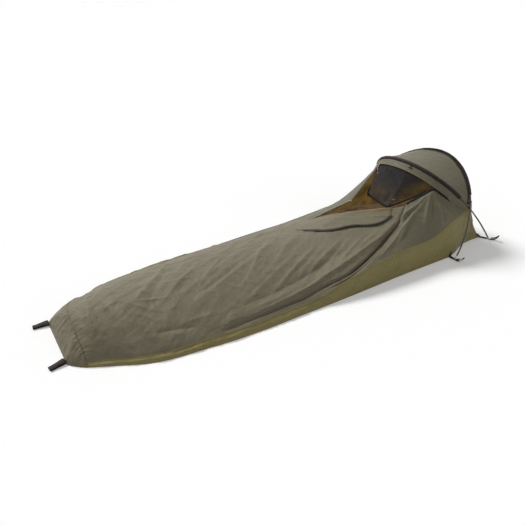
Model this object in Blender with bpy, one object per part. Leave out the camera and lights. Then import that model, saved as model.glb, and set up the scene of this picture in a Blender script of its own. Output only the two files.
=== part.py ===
# One-person hooped bivvy tent, pitched, with its door unzipped and folded back.
# +X points to the head end, -Y is the side that the door is folded towards, +Z is up.
# Sizes are in metres and x is measured from the foot hem until the last step,
# which puts the origin on the ground under the middle of the whole tent.

import math

import bmesh
import bpy
import numpy as np
from mathutils import Matrix, Vector

# Body on the ground
BODY_LENGTH = 2.400
BODY_HALF_WIDTH = 0.415
BODY_HEIGHT = 0.420
FABRIC_THICKNESS = 0.0010
SEAM_TRIM = 0.0008
TOUCH_GAP = 0.0003
FOOT_HEIGHT = 0.100

# Hoops: the rear hoop stands on the shoulder corners and leans to the head,
# the front hoop stands on the head corners and leans over the opening.
REAR_HOOP_HEIGHT = 0.451
REAR_HOOP_FOOT_MARGIN = 0.035
REAR_HOOP_FOOT_SETBACK = 0.352
REAR_HOOP_APEX_SETBACK = 0.048
REAR_HOOP_SHOULDER = 0.009
REAR_HOOP_POWER = 1.145
FRONT_HOOP_HEIGHT = 0.445
FRONT_HOOP_FOOT_MARGIN = 0.048
FRONT_HOOP_FOOT_OVERHANG = 0.025
FRONT_HOOP_APEX_SETBACK = 0.364
FRONT_HOOP_SHOULDER = 0.032
FRONT_HOOP_POWER = 0.771

# Poles: tube sections with inserts, threaded on an elastic cord
POLE_DIAMETER = 0.0085
POLE_WALL = 0.0009
SECTION_COUNT = 4
STEPS_PER_SECTION = 9
POLE_SIDES = 10
SECTION_JOINT_GAP = 0.0004
PATH_STEPS = 2000
INSERT_LENGTH = 0.060
INSERT_WALL = 0.0007
FIT_CLEARANCE = 0.00035
SHOCK_CORD_DIAMETER = 0.0030
SHOCK_CORD_SIDES = 6
TIP_HEIGHT = 0.020
TIP_SHOULDER_HEIGHT = 0.0075
TIP_PLUG_LENGTH = 0.012
TIP_PIN_DIAMETER = 0.0038

# Sleeves and brow
SLEEVE_HALF_WIDTH = 0.0105
SLEEVE_HALF_DEPTH = 0.0068
SLEEVE_END_HEIGHT = 0.300
CANOPY_SEAM = 0.0005
CANOPY_SAG = 0.010
BROW_REACH = 0.030
BROW_DROP = 0.036
REAR_WALL_BOW = 0.016
SEAM_END_DROP = 0.012
SEAM_END_INSET = 0.007

# Webbing
STRAP_WIDTH = 0.021
WEBBING_THICKNESS = 0.0016
STRAP_TAB_HEIGHT = 0.045
STRAP_STANDOFF = 0.0012
STRAP_END_MARGIN = 0.013
PEG_LOOP_WIDTH = 0.016
PEG_LOOP_LENGTH = 0.030
PEG_LOOP_ROOT_RADIUS = 0.0050
PEG_LOOP_TIP_RADIUS = 0.0040
PEG_LOOP_CURL = 0.022
FOOT_LOOP_WIDTH = 0.025
FOOT_LOOP_LENGTH = 0.058
FOOT_LOOP_ROOT_RADIUS = 0.0075
FOOT_LOOP_TIP_RADIUS = 0.0035
NEAR_FOOT_LOOP_INSET = 0.016
FAR_FOOT_LOOP_INSET = 0.008
NEAR_FOOT_LOOP_SPLAY_DEG = 12.0
FAR_FOOT_LOOP_SPLAY_DEG = 4.0

# Grommets in the corner straps
GROMMET_OUTER_RADIUS = 0.0090
GROMMET_HOLE_RADIUS = 0.0046
GROMMET_METAL = 0.0008
GROMMET_SIDES = 14

# Zips
ZIP_TAPE_WIDTH = 0.013
ZIP_TAPE_THICKNESS = 0.0008
ZIP_CHAIN_WIDTH = 0.0034
ZIP_CHAIN_THICKNESS = 0.0026
ZIP_END_INSET = 0.022
ZIP_BEND_EASE = 0.0020
SLIDER_LENGTH = 0.0105
SLIDER_WALL = 0.0013
SLIDER_COVER_SHARE = 1.3
SLIDER_SEAT_SHARE = 0.8
PULL_LENGTH = 0.024
PULL_WIDTH = 0.0050
PULL_THICKNESS = 0.0012
PULL_PIVOT_HEIGHT = 0.0014
PULL_TAPER_SHARE = 0.7
PULL_END_SHARE = 0.6

# Hooks at the crossing of the hoops, and the toggle under the brow
HOOK_WIDTH = 0.010
HOOK_WALL = 0.0028
HOOK_TAIL = 0.014
HOOK_TAIL_WIDTH = 0.0040
HOOK_MOUTH_DEG = 70.0
HOOK_RISE = 0.022
HOOK_STEPS = 12
TOGGLE_LENGTH = 0.022
TOGGLE_RADIUS = 0.0034
TOGGLE_WAIST_RADIUS = 0.0022
TOGGLE_OFFSET_Y = 0.060
TOGGLE_DROP = 0.0102
TOGGLE_END_SHARE = 0.7
TOGGLE_CHAMFER_SHARE = 0.85
TOGGLE_SIDES = 12
TOGGLE_LOOP_STEPS = 9
TOGGLE_LOOP_TURN_DEG = 135.0
TOGGLE_LOOP_WIDTH = 0.0050
TOGGLE_LOOP_THICKNESS = 0.0010

# Door and mosquito net
DOOR_THICKNESS = 0.0020
DOOR_LIFT = 0.0022
NET_THICKNESS = 0.0008
NET_SEAT = 0.0016
NET_SAG = 0.006

SHOULDER_X = BODY_LENGTH - REAR_HOOP_FOOT_SETBACK
FLOOR_TOP = 2 * FABRIC_THICKNESS + TOUCH_GAP

# Half width of the floor: shares of the shoulder length against shares of the half width,
# then of the length from the shoulder to the head hem.
TAPER_X_SHARES = (0.0, 0.020, 0.054, 0.089, 0.141, 0.200, 0.244, 0.310, 0.382, 0.49, 0.64, 0.81, 1.0)
TAPER_WIDTH_SHARES = (0.40, 0.51, 0.61, 0.70, 0.83, 0.90, 0.925, 0.966, 0.99, 0.995, 1.0, 0.99, 1.0)
HEAD_X_SHARES = (0.0, 0.16, 0.38, 0.54, 0.66, 1.0)
HEAD_WIDTH_SHARES = (1.0, 0.964, 0.892, 0.850, 0.838, 0.836)
REAR_HOOP_HALF_SPAN = BODY_HALF_WIDTH + REAR_HOOP_FOOT_MARGIN
FRONT_HOOP_HALF_SPAN = BODY_HALF_WIDTH * HEAD_WIDTH_SHARES[-1] + FRONT_HOOP_FOOT_MARGIN

# Lean of the side walls and height of the seam between wall and cover, near and far side
LEAN_SHARES = (0.030, 0.050, 0.062, 0.062, 0.060, 0.060, 0.060)
LEAN_X_SHARES = (0.03, 0.10, 0.30, 0.60, 0.80, 0.95, 1.0)
NEAR_SEAM_X_SHARES = (0.033, 0.12, 0.30, 0.48, 0.56, 0.61, 0.70, 0.82, 0.95, 1.0)
NEAR_SEAM_SHARES = (0.036, 0.048, 0.064, 0.076, 0.095, 0.160, 0.248, 0.315, 0.374, 0.495)
FAR_SEAM_X_SHARES = (0.033, 0.12, 0.48, 0.60, 0.70, 0.80, 0.88, 0.95, 1.0)
FAR_SEAM_SHARES = (0.036, 0.045, 0.048, 0.071, 0.085, 0.125, 0.160, 0.180, 0.240)

# Height of the cover along its middle, and how round it falls to each side
CROWN_X_SHARES = (0.0, 0.030, 0.075, 0.15, 0.25, 0.37, 0.49, 0.59, 0.69, 0.735, 0.81, 0.887, 0.956, 1.01)
CROWN_SHARES = (0.19, 0.245, 0.315, 0.310, 0.285, 0.280, 0.285, 0.310, 0.385, 0.455, 0.50, 0.64, 0.85, 1.0)
NEAR_ROUNDNESS = 2.2
FAR_ROUNDNESS_X_SHARES = (0.0, 0.25, 0.49, 0.735, 0.91, 1.01)
FAR_ROUNDNESS_SHARES = (1.6, 1.7, 1.8, 1.3, 1.3, 2.0)

# Places along the shoulder length and across the half width
CREASE_X_SHARES = (0.540, 0.610, 0.676, 0.738, 0.814, 0.887, 0.917)
CREASE_Y_SHARES = (0.950, 0.905, 0.860, 0.795, 0.667, 0.554, 0.458)
DOOR_NEAR_SHARES = (0.887, -0.361)
DOOR_FAR_SHARES = (0.735, 0.410)
ZIP_BEND_SHARES = (0.882, 0.410)
FOOT_NEAR_START_SHARE = 0.033
FOOT_FAR_START_SHARE = 0.073
LIP_TAPER_SHARE = 0.65
LIP_CORNER_SHARE = 0.24
LIP_ZIP_END_SHARE = 0.08
FLAP_END_SHARE = 0.965
FLAP_PLACE_SHARES = (0.0, 0.10, 0.40, 0.80, 1.0)
FLAP_REACH_SHARES = (0.11, 0.22, 0.34, 0.45, 0.30)
FLAP_SLANT_SHARES = (0.0, 0.0, 0.0, 0.03, 0.24)
NET_TOP_SHARES = (0.23, 0.72)
NET_NEAR_CORNER_SHARES = (0.920, -0.145, 0.512)
NET_FAR_CORNER_SHARES = (0.942, 0.385, 0.514)
NET_TOP_SEAT_SHARE = 0.12
NET_SIDE_START_SHARES = (0.0, 0.5, -0.2)
ZIP_START_SHARE = 0.06
FAR_ZIP_TOWARD = (0.0, -0.9, 0.44)
NEAR_ZIP_TOWARDS = ((0.0, 0.78, 0.62), (0.0, 0.30, 0.95), (0.0, 0.0, 1.0))
FOOT_SEAM_SKEW = 4
FOOT_SEAM_ROUNDNESS = 0.7
FOOT_BULGE_SHARE = 0.1
SLEEVE_GAP_SHARE = 0.05
CANOPY_GAP_SHARE = 0.07
HEAD_EDGE_LOW_SHARE = 0.8

COVER_ROWS = 21
COVER_SEAM_ROWS = 11
COVER_COLUMNS = 16
NEAR_HEAD_COLUMNS = 2
FAR_HEAD_COLUMNS = 6
NEAR_HEM_STEPS = 2
FAR_HEM_STEPS = 5
WALL_COLUMNS = 4
WING_COLUMNS = 6
FAR_WING_ROWS = 10
FAR_WING_COLUMNS = 5
HOOD_ROWS = 20
HOOD_COLUMNS = 6
BROW_COLUMNS = 3
REAR_WALL_ROWS = 14
REAR_WALL_COLUMNS = 6
TEARDROP_STEPS = 6
WING_UPPER_ROWS = 3
FLAP_ROWS = 20
FLAP_COLUMNS = 8
NET_COLUMNS = 12
WING_LIP_ROWS = 6
HEAD_EDGE_ROWS = 5


def smooth_table(x, places, values):
    """Value at x on a smooth curve through the places, with the slopes that a spline has."""
    places = np.asarray(places, float)
    values = np.asarray(values, float)
    slopes = np.gradient(values, places)
    i = int(np.clip(np.searchsorted(places, x) - 1, 0, len(places) - 2))
    step = places[i + 1] - places[i]
    t = float(np.clip((x - places[i]) / step, 0.0, 1.0))
    rise = 3 * t ** 2 - 2 * t ** 3
    lead = (t ** 3 - 2 * t ** 2 + t) * step
    tail = (t ** 3 - t ** 2) * step
    return float(values[i] * (1 - rise) + values[i + 1] * rise + lead * slopes[i] + tail * slopes[i + 1])


def floor_half_width(x):
    """Half width of the tent on the ground."""
    if x <= SHOULDER_X:
        return BODY_HALF_WIDTH * smooth_table(x / SHOULDER_X, TAPER_X_SHARES, TAPER_WIDTH_SHARES)
    share = (x - SHOULDER_X) / (BODY_LENGTH - SHOULDER_X)
    return BODY_HALF_WIDTH * smooth_table(share, HEAD_X_SHARES, HEAD_WIDTH_SHARES)


def seam_point(x, side):
    """Point on the seam between the side wall and the cover; side is -1 near, 1 far."""
    share = x / SHOULDER_X
    lean = BODY_HALF_WIDTH * smooth_table(share, LEAN_X_SHARES, LEAN_SHARES)
    if side < 0:
        height = smooth_table(share, NEAR_SEAM_X_SHARES, NEAR_SEAM_SHARES)
    else:
        height = smooth_table(share, FAR_SEAM_X_SHARES, FAR_SEAM_SHARES)
    return Vector((x, side * (floor_half_width(x) - lean), BODY_HEIGHT * height))


def cover_height(x, y):
    """Height of the cover over a point of the ground."""
    share = x / SHOULDER_X
    side = -1 if y < 0 else 1
    seam = seam_point(x, side)
    crown = BODY_HEIGHT * smooth_table(share, CROWN_X_SHARES, CROWN_SHARES)
    roundness = NEAR_ROUNDNESS
    if side > 0:
        roundness = smooth_table(share, FAR_ROUNDNESS_X_SHARES, FAR_ROUNDNESS_SHARES)
    fall = min(abs(y / seam.y), 1.0) ** roundness
    return seam.z + (crown - seam.z) * (1 - fall)


def on_cover(x, y, lift=0.0):
    return Vector((x, y, cover_height(x, y) + lift))


def hoop_point(hoop, angle):
    """Point on the middle line of a hoop; angle runs from 0 at the near foot to pi at the far foot."""
    foot_x, apex_x, height, half_span, shoulder, power = hoop
    rise = max(math.sin(angle), 0.0) ** power
    y = -math.cos(angle) * (half_span + shoulder * math.sin(angle) ** 2)
    return Vector((foot_x + (apex_x - foot_x) * rise, y, height * rise))


REAR_HOOP = (SHOULDER_X, BODY_LENGTH - REAR_HOOP_APEX_SETBACK, REAR_HOOP_HEIGHT,
             REAR_HOOP_HALF_SPAN, REAR_HOOP_SHOULDER, REAR_HOOP_POWER)
FRONT_HOOP = (BODY_LENGTH + FRONT_HOOP_FOOT_OVERHANG, BODY_LENGTH - FRONT_HOOP_APEX_SETBACK,
              FRONT_HOOP_HEIGHT, FRONT_HOOP_HALF_SPAN, FRONT_HOOP_SHOULDER, FRONT_HOOP_POWER)


def hoop_lean(hoop):
    """Distance along X that a hoop leans for each unit of height."""
    return (hoop[1] - hoop[0]) / hoop[2]


CROSSING_Z = (FRONT_HOOP[0] - REAR_HOOP[0]) / (hoop_lean(REAR_HOOP) - hoop_lean(FRONT_HOOP))


def angle_at_height(hoop, z):
    return math.asin(min((z / hoop[2]) ** (1 / hoop[5]), 1.0))


REAR_CROSSING_ANGLE = angle_at_height(REAR_HOOP, CROSSING_Z)
FRONT_CROSSING_ANGLE = angle_at_height(FRONT_HOOP, CROSSING_Z)


def upper_arc(hoop, crossing_angle, share):
    """Point on the part of a hoop above the crossings; share 0 is the near crossing, 1 the far one."""
    return hoop_point(hoop, crossing_angle + share * (math.pi - 2 * crossing_angle))


def lip_point(share):
    """Point on the free edge of the brow."""
    hoop = upper_arc(FRONT_HOOP, FRONT_CROSSING_ANGLE, share)
    spread = 1 - LIP_TAPER_SHARE * abs(2 * share - 1) ** 6
    return hoop + Vector((-BROW_REACH, 0, -BROW_DROP)) * spread


def hoop_path(hoop):
    """Points at even distances along a hoop, both feet included."""
    fine = [hoop_point(hoop, math.pi * i / PATH_STEPS) for i in range(PATH_STEPS + 1)]
    length = np.concatenate([[0.0], np.cumsum([(b - a).length for a, b in zip(fine, fine[1:])])])
    targets = np.linspace(0, length[-1], SECTION_COUNT * STEPS_PER_SECTION + 1)
    coords = [np.interp(targets, length, [p[k] for p in fine]) for k in range(3)]
    return [Vector(p) for p in zip(*coords)]


def tangents(path):
    ends = [path[0]] + list(path) + [path[-1]]
    return [(b - a).normalized() for a, b in zip(ends, ends[2:])]


def material(name, color, roughness, metallic=0.0):
    mat = bpy.data.materials.new(name)
    mat.use_nodes = True
    shader = mat.node_tree.nodes["Principled BSDF"]
    shader.inputs["Base Color"].default_value = (*color, 1.0)
    shader.inputs["Roughness"].default_value = roughness
    shader.inputs["Metallic"].default_value = metallic
    mat.diffuse_color = (*color, 1.0)
    return mat


def add_object(name, points, faces, mat, origin=None):
    """One closed body from points and faces; a moving piece gets its origin on its joint."""
    base = Vector((0, 0, 0)) if origin is None else Vector(origin)
    mesh = bpy.data.meshes.new(name)
    mesh.from_pydata([tuple(Vector(p) - base) for p in points], [], faces)
    work = bmesh.new()
    work.from_mesh(mesh)
    bmesh.ops.recalc_face_normals(work, faces=work.faces)
    if work.calc_volume(signed=True) < 0:
        bmesh.ops.reverse_faces(work, faces=work.faces)
    work.to_mesh(mesh)
    work.free()
    mesh.shade_smooth()
    mesh.set_sharp_from_angle(angle=math.radians(40))
    mesh.materials.append(mat)
    obj = bpy.data.objects.new(name, mesh)
    obj.location = base
    bpy.context.collection.objects.link(obj)
    return obj


def grid_faces(grid, start, flip):
    """Triangles of one layer; both layers are split along the diagonal that is shorter on the grid."""
    faces = []
    columns = len(grid[0])
    for i in range(len(grid) - 1):
        for j in range(columns - 1):
            a = start + i * columns + j
            corners = (a, a + 1, a + columns + 1, a + columns)
            falling = (grid[i + 1][j + 1] - grid[i][j]).length
            rising = (grid[i + 1][j] - grid[i][j + 1]).length
            k = 0 if falling <= rising else 1
            for m in (1, 2):
                face = (corners[k], corners[(k + m) % 4], corners[(k + m + 1) % 4])
                faces.append(face[::-1] if flip else face)
    return faces


def trimmed(grid, trims):
    """Move the edges of a grid inwards; trims are for the first and last row and column."""
    out = [list(row) for row in grid]
    rows, columns = len(out), len(out[0])
    for j in range(columns):
        for i, inner, trim in ((0, 1, trims[0]), (rows - 1, rows - 2, trims[1])):
            step = out[inner][j] - out[i][j]
            out[i][j] = out[i][j] + step.normalized() * min(trim, step.length * 0.5)
    for i in range(rows):
        for j, inner, trim in ((0, 1, trims[2]), (columns - 1, columns - 2, trims[3])):
            step = out[i][inner] - out[i][j]
            out[i][j] = out[i][j] + step.normalized() * min(trim, step.length * 0.5)
    return out


def panel(name, grid, mat, inward, thickness=FABRIC_THICKNESS, trims=None, origin=None):
    """Cloth panel with the grid as its outer face; inward points to the inside of the tent."""
    trims = (SEAM_TRIM,) * 4 if trims is None else trims
    grid = trimmed(grid, trims)
    rows, columns = len(grid), len(grid[0])
    inner = []
    for i in range(rows):
        for j in range(columns):
            along = grid[min(i + 1, rows - 1)][j] - grid[max(i - 1, 0)][j]
            across = grid[i][min(j + 1, columns - 1)] - grid[i][max(j - 1, 0)]
            normal = along.cross(across).normalized()
            if normal.dot(inward) < 0:
                normal = -normal
            inner.append(grid[i][j] + normal * thickness)
    outer = [p for row in grid for p in row]
    count = rows * columns
    faces = grid_faces(grid, 0, False) + grid_faces(grid, count, True)
    ring = [j for j in range(columns)]
    ring += [i * columns + columns - 1 for i in range(1, rows)]
    ring += [(rows - 1) * columns + j for j in range(columns - 2, -1, -1)]
    ring += [i * columns for i in range(rows - 2, 0, -1)]
    for a, b in zip(ring, ring[1:] + ring[:1]):
        faces.append((b, a, a + count, b + count))
    return add_object(name, outer + inner, faces, mat, origin)


def loft(lower, upper, columns, bulge, full_length=None):
    """Grid between two edges with the same number of points, pushed out by the bulge vector,
    in full where the edges are the full length apart."""
    grid = []
    for a, b in zip(lower, upper):
        row = []
        push = bulge * min((b - a).length / full_length, 1.0) if full_length else bulge
        for j in range(columns):
            share = j / (columns - 1)
            row.append(a.lerp(b, share) + push * math.sin(math.pi * share))
        grid.append(row)
    return grid


def along_outline(points, count):
    """Even points along a chain of points, both ends included."""
    steps = [0.0]
    for a, b in zip(points, points[1:]):
        steps.append(steps[-1] + (b - a).length)
    targets = np.linspace(0, steps[-1], count)
    return [Vector(p) for p in zip(*[np.interp(targets, steps, [q[k] for q in points]) for k in range(3)])]


def ring_points(center, normal, tangent, outline):
    """Points of a closed outline in the plane across a path."""
    side = tangent.cross(normal).normalized()
    up = side.cross(tangent).normalized()
    return [center + side * a + up * b for a, b in outline]


def circle(radius, sides, squash=1.0):
    steps = [2 * math.pi * k / sides for k in range(sides)]
    return [(radius * math.cos(a), radius * squash * math.sin(a)) for a in steps]


def sweep(name, path, normal, outline, mat, hole=None, origin=None, directions=None):
    """Solid along a path with a fixed outline, hollow right through where a hole outline is given."""
    path = [Vector(p) for p in path]
    around = len(outline)
    points = []
    faces = []
    directions = directions or tangents(path)
    for shape in [outline] + ([hole] if hole else []):
        for p, d in zip(path, directions):
            points += ring_points(p, normal, d, shape)
    count = len(path) * around
    for layer in range(2 if hole else 1):
        for i in range(len(path) - 1):
            for k in range(around):
                a = layer * count + i * around + k
                b = layer * count + i * around + (k + 1) % around
                quad = (a, b, b + around, a + around)
                faces.append(quad[::-1] if layer else quad)
    last = (len(path) - 1) * around
    if hole:
        for k in range(around):
            n = (k + 1) % around
            faces.append((k, k + count, n + count, n))
            faces.append((last + k, last + n, last + n + count, last + k + count))
    else:
        faces.append(tuple(reversed(range(around))))
        faces.append(tuple(last + k for k in range(around)))
    return add_object(name, points, faces, mat, origin)


def closed_band(name, path, width_direction, width, thickness, mat, origin=None):
    """Webbing sewn into a ring that follows a closed path."""
    points = []
    faces = []
    count = len(path)
    for i, p in enumerate(path):
        tangent = (path[(i + 1) % count] - path[i - 1]).normalized()
        out = tangent.cross(width_direction).normalized()
        for a, b in ((-1, -1), (1, -1), (1, 1), (-1, 1)):
            points.append(p + width_direction * (a * width / 2) + out * (b * thickness / 2))
    for i in range(count):
        n = (i + 1) % count
        for k in range(4):
            m = (k + 1) % 4
            faces.append((4 * i + k, 4 * i + m, 4 * n + m, 4 * n + k))
    return add_object(name, points, faces, mat, origin)


def turned(name, profile, sides, mat, place, origin=None):
    """Closed turned ring from a profile of (radius, height) pairs, set by the place matrix."""
    points = []
    faces = []
    count = len(profile)
    for k in range(sides):
        a = 2 * math.pi * k / sides
        points += [place @ Vector((r * math.cos(a), r * math.sin(a), z)) for r, z in profile]
    for k in range(sides):
        n = (k + 1) % sides
        for i in range(count):
            m = (i + 1) % count
            faces.append((k * count + i, k * count + m, n * count + m, n * count + i))
    return add_object(name, points, faces, mat, origin)


def cut(obj, cutter):
    """Take the cutter out of an object and leave the cutter as a wire guide."""
    tool = obj.modifiers.new("hole", "BOOLEAN")
    tool.operation = "DIFFERENCE"
    tool.solver = "EXACT"
    tool.object = cutter
    cutter.hide_render = True
    cutter.display_type = "WIRE"


for old in list(bpy.data.objects):
    bpy.data.objects.remove(old, do_unlink=True)

COVER_CLOTH = material("cover_cloth", (0.165, 0.150, 0.105), 0.62)
WALL_CLOTH = material("wall_cloth", (0.135, 0.120, 0.055), 0.66)
FLOOR_CLOTH = material("floor_cloth", (0.120, 0.085, 0.055), 0.55)
SLEEVE_CLOTH = material("sleeve_cloth", (0.045, 0.033, 0.033), 0.70)
WEBBING = material("webbing", (0.030, 0.022, 0.022), 0.80)
ZIP_BLACK = material("zip_black", (0.018, 0.016, 0.016), 0.60)
NET_BLACK = material("net_black", (0.025, 0.022, 0.020), 0.75)
POLE_ALLOY = material("pole_alloy", (0.060, 0.055, 0.060), 0.30, 0.85)
INSERT_ALLOY = material("insert_alloy", (0.55, 0.55, 0.56), 0.35, 1.0)
ELASTIC = material("elastic_cord", (0.04, 0.04, 0.04), 0.85)
METAL = material("zinc_metal", (0.50, 0.50, 0.50), 0.30, 1.0)
PLASTIC = material("black_plastic", (0.02, 0.02, 0.02), 0.45)

UP = Vector((0, 0, 1))
DOWN = Vector((0, 0, -1))
HOOP_NORMAL_AXIS = Vector((0, 1, 0))

# Places that several pieces share
REAR_FOOT = hoop_point(REAR_HOOP, 0.0)
FRONT_FOOT = hoop_point(FRONT_HOOP, 0.0)
CROSSING = upper_arc(FRONT_HOOP, FRONT_CROSSING_ANGLE, 0.0)
SEAM_END = lip_point(0.0) + Vector((0, SEAM_END_INSET, -SEAM_END_DROP))


def mirror(point):
    return Vector((point.x, -point.y, point.z))


def side_of(point, side):
    return point if side < 0 else mirror(point)


def share_point(shares):
    return (SHOULDER_X * shares[0], BODY_HALF_WIDTH * shares[1])


def crease_points():
    """Edge between the cover and the near wing, from the wall seam up to the door corner."""
    shares = np.linspace(CREASE_X_SHARES[0], CREASE_X_SHARES[-1], COVER_ROWS - COVER_SEAM_ROWS + 1)
    points = []
    for s in shares:
        x = SHOULDER_X * s
        y = -BODY_HALF_WIDTH * smooth_table(s, CREASE_X_SHARES, CREASE_Y_SHARES)
        y = max(y, seam_point(x, -1).y)
        points.append(on_cover(x, y))
    points[0] = seam_point(points[0].x, -1)
    return points


def seam_to_crossing(x_start, side, steps):
    """Points on the wall seam from x_start to the crossing of the hoops."""
    end = side_of(SEAM_END, side)
    merge = SHOULDER_X
    points = []
    for i in range(steps + 1):
        x = x_start + (end.x - x_start) * i / steps
        if x <= merge:
            points.append(seam_point(x, side))
        else:
            points.append(seam_point(merge, side).lerp(end, (x - merge) / (end.x - merge)))
    points[-1] = end
    return points


CREASE = crease_points()
NEAR_START_X = SHOULDER_X * FOOT_NEAR_START_SHARE
FAR_START_X = SHOULDER_X * FOOT_FAR_START_SHARE
CREASE_START_X = CREASE[0].x
NEAR_SEAM_LOW = [seam_point(NEAR_START_X + (CREASE_START_X - NEAR_START_X) * i / COVER_SEAM_ROWS, -1)
                 for i in range(COVER_SEAM_ROWS + 1)]
WING_ROWS = COVER_ROWS - COVER_SEAM_ROWS + WING_UPPER_ROWS + WING_LIP_ROWS
NEAR_SEAM_HIGH = seam_to_crossing(CREASE_START_X, -1, WING_ROWS)
DOOR_FAR = on_cover(*share_point(DOOR_FAR_SHARES))
DOOR_NEAR = on_cover(*share_point(DOOR_NEAR_SHARES))
ZIP_BEND = on_cover(*share_point(ZIP_BEND_SHARES))
FAR_SEAM_LOW = [seam_point(FAR_START_X + (DOOR_FAR.x - FAR_START_X) * i / COVER_ROWS, 1)
                for i in range(COVER_ROWS + 1)]
FAR_SEAM_HIGH = seam_to_crossing(DOOR_FAR.x, 1, FAR_WING_ROWS)


def foot_seam():
    """Gathered seam between the cover and the foot panel, near to far."""
    near = NEAR_SEAM_LOW[0]
    far = FAR_SEAM_LOW[0]
    points = []
    for j in range(COVER_COLUMNS + 1):
        share = j / COVER_COLUMNS
        y = near.y + (far.y - near.y) * share
        x = near.x + (far.x - near.x) * share ** FOOT_SEAM_SKEW
        base = near.z + (far.z - near.z) * share
        points.append(Vector((x, y, base + (FOOT_HEIGHT - base) * math.sin(math.pi * share) ** FOOT_SEAM_ROUNDNESS)))
    return points


FOOT_SEAM = foot_seam()


def top_cover():
    """Large top panel, from the foot seam to the fold of the door."""
    near_edge = NEAR_SEAM_LOW + CREASE[1:]
    far_edge = FAR_SEAM_LOW
    door_columns = COVER_COLUMNS - NEAR_HEAD_COLUMNS - FAR_HEAD_COLUMNS
    head_edge = [CREASE[-1].lerp(DOOR_NEAR, j / NEAR_HEAD_COLUMNS) for j in range(NEAR_HEAD_COLUMNS)]
    head_edge += [DOOR_NEAR.lerp(DOOR_FAR, j / door_columns) for j in range(door_columns)]
    head_edge += [DOOR_FAR.lerp(FAR_SEAM_LOW[-1], j / FAR_HEAD_COLUMNS) for j in range(FAR_HEAD_COLUMNS + 1)]
    grid = []
    for i in range(COVER_ROWS + 1):
        s = i / COVER_ROWS
        row = []
        for j in range(COVER_COLUMNS + 1):
            t = j / COVER_COLUMNS
            ends = near_edge[i].lerp(far_edge[i], t)
            sides = FOOT_SEAM[j].lerp(head_edge[j], s)
            corners = FOOT_SEAM[0].lerp(head_edge[0], s).lerp(FOOT_SEAM[-1].lerp(head_edge[-1], s), t)
            flat = ends + sides - corners
            row.append(on_cover(flat.x, flat.y))
        row[0] = near_edge[i]
        row[-1] = far_edge[i]
        grid.append(row)
    grid[0] = list(FOOT_SEAM)
    for j in range(NEAR_HEAD_COLUMNS, NEAR_HEAD_COLUMNS + door_columns + 1):
        grid[-1][j] = head_edge[j]
    return panel("top_cover", grid, COVER_CLOTH, DOWN)


def foot_panel():
    """Small end panel that closes the foot, gathered along its upper edge."""
    near = [NEAR_START_X * (1 - i / NEAR_HEM_STEPS) for i in range(NEAR_HEM_STEPS)]
    far = [FAR_START_X * i / FAR_HEM_STEPS for i in range(FAR_HEM_STEPS + 1)]
    front_steps = COVER_COLUMNS - NEAR_HEM_STEPS - FAR_HEM_STEPS
    corner_y = floor_half_width(0.0)
    hem = [Vector((x, -floor_half_width(x), FLOOR_TOP)) for x in near]
    hem += [Vector((0, corner_y * (2 * i / front_steps - 1), FLOOR_TOP)) for i in range(front_steps)]
    hem += [Vector((x, floor_half_width(x), FLOOR_TOP)) for x in far]
    bulge = Vector((-FOOT_BULGE_SHARE * FOOT_HEIGHT, 0, 0))
    grid = loft(hem, FOOT_SEAM, WALL_COLUMNS, bulge, full_length=FOOT_HEIGHT)
    return panel("foot_panel", grid, COVER_CLOTH, Vector((1, 0, -1)),
                 trims=(SEAM_TRIM, SEAM_TRIM, 0.0, SEAM_TRIM))


def lip_edge(side, steps):
    """Edge of a wing along the underside of the brow, from the opening's top corner to the crossing."""
    points = []
    for i in range(steps + 1):
        share = LIP_CORNER_SHARE * (1 - i / steps)
        room = (ZIP_TAPE_WIDTH + ZIP_CHAIN_THICKNESS + FABRIC_THICKNESS) * min(1.0, share / LIP_ZIP_END_SHARE)
        p = lip_point(share) - Vector((0, 0, CANOPY_SEAM + room))
        points.append(side_of(p, side))
    return points


LIP_NEAR = lip_edge(-1, WING_LIP_ROWS)


def near_wing_panel():
    """Panel that rises from the near wall to the opening and the brow."""
    upper = [CREASE[-1].lerp(LIP_NEAR[0], (i + 1) / WING_UPPER_ROWS) for i in range(WING_UPPER_ROWS)]
    top = CREASE + upper + LIP_NEAR[1:]
    return panel("near_wing_panel", loft(NEAR_SEAM_HIGH[1:], top[1:], WING_COLUMNS, Vector((0, 0, 0))),
                 COVER_CLOTH, Vector((0, 1, -1)))


def far_wing_panel():
    """Narrow panel between the far zip and the far wall."""
    lip = lip_edge(1, 4)
    straight = [DOOR_FAR.lerp(ZIP_BEND, i / 4) for i in range(4)]
    rise = [ZIP_BEND.lerp(lip[0], i / 2) for i in range(2)]
    grid = loft(FAR_SEAM_HIGH, straight + rise + lip, FAR_WING_COLUMNS, Vector((0, 0, 0)))
    return panel("far_wing_panel", grid, COVER_CLOTH, Vector((0, -1, -1)))


def head_edge_points(side):
    """Edge between a side wall and the rear wall, from the crossing to the head corner."""
    top = side_of(SEAM_END, side)
    corner = Vector((BODY_LENGTH, side * floor_half_width(BODY_LENGTH), FLOOR_TOP))
    points = []
    for i in range(HEAD_EDGE_ROWS + 1):
        share = i / HEAD_EDGE_ROWS
        bow = Vector((-REAR_WALL_BOW * math.sin(math.pi * share), 0, 0))
        points.append(top.lerp(corner, share) + bow)
    return points


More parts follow.
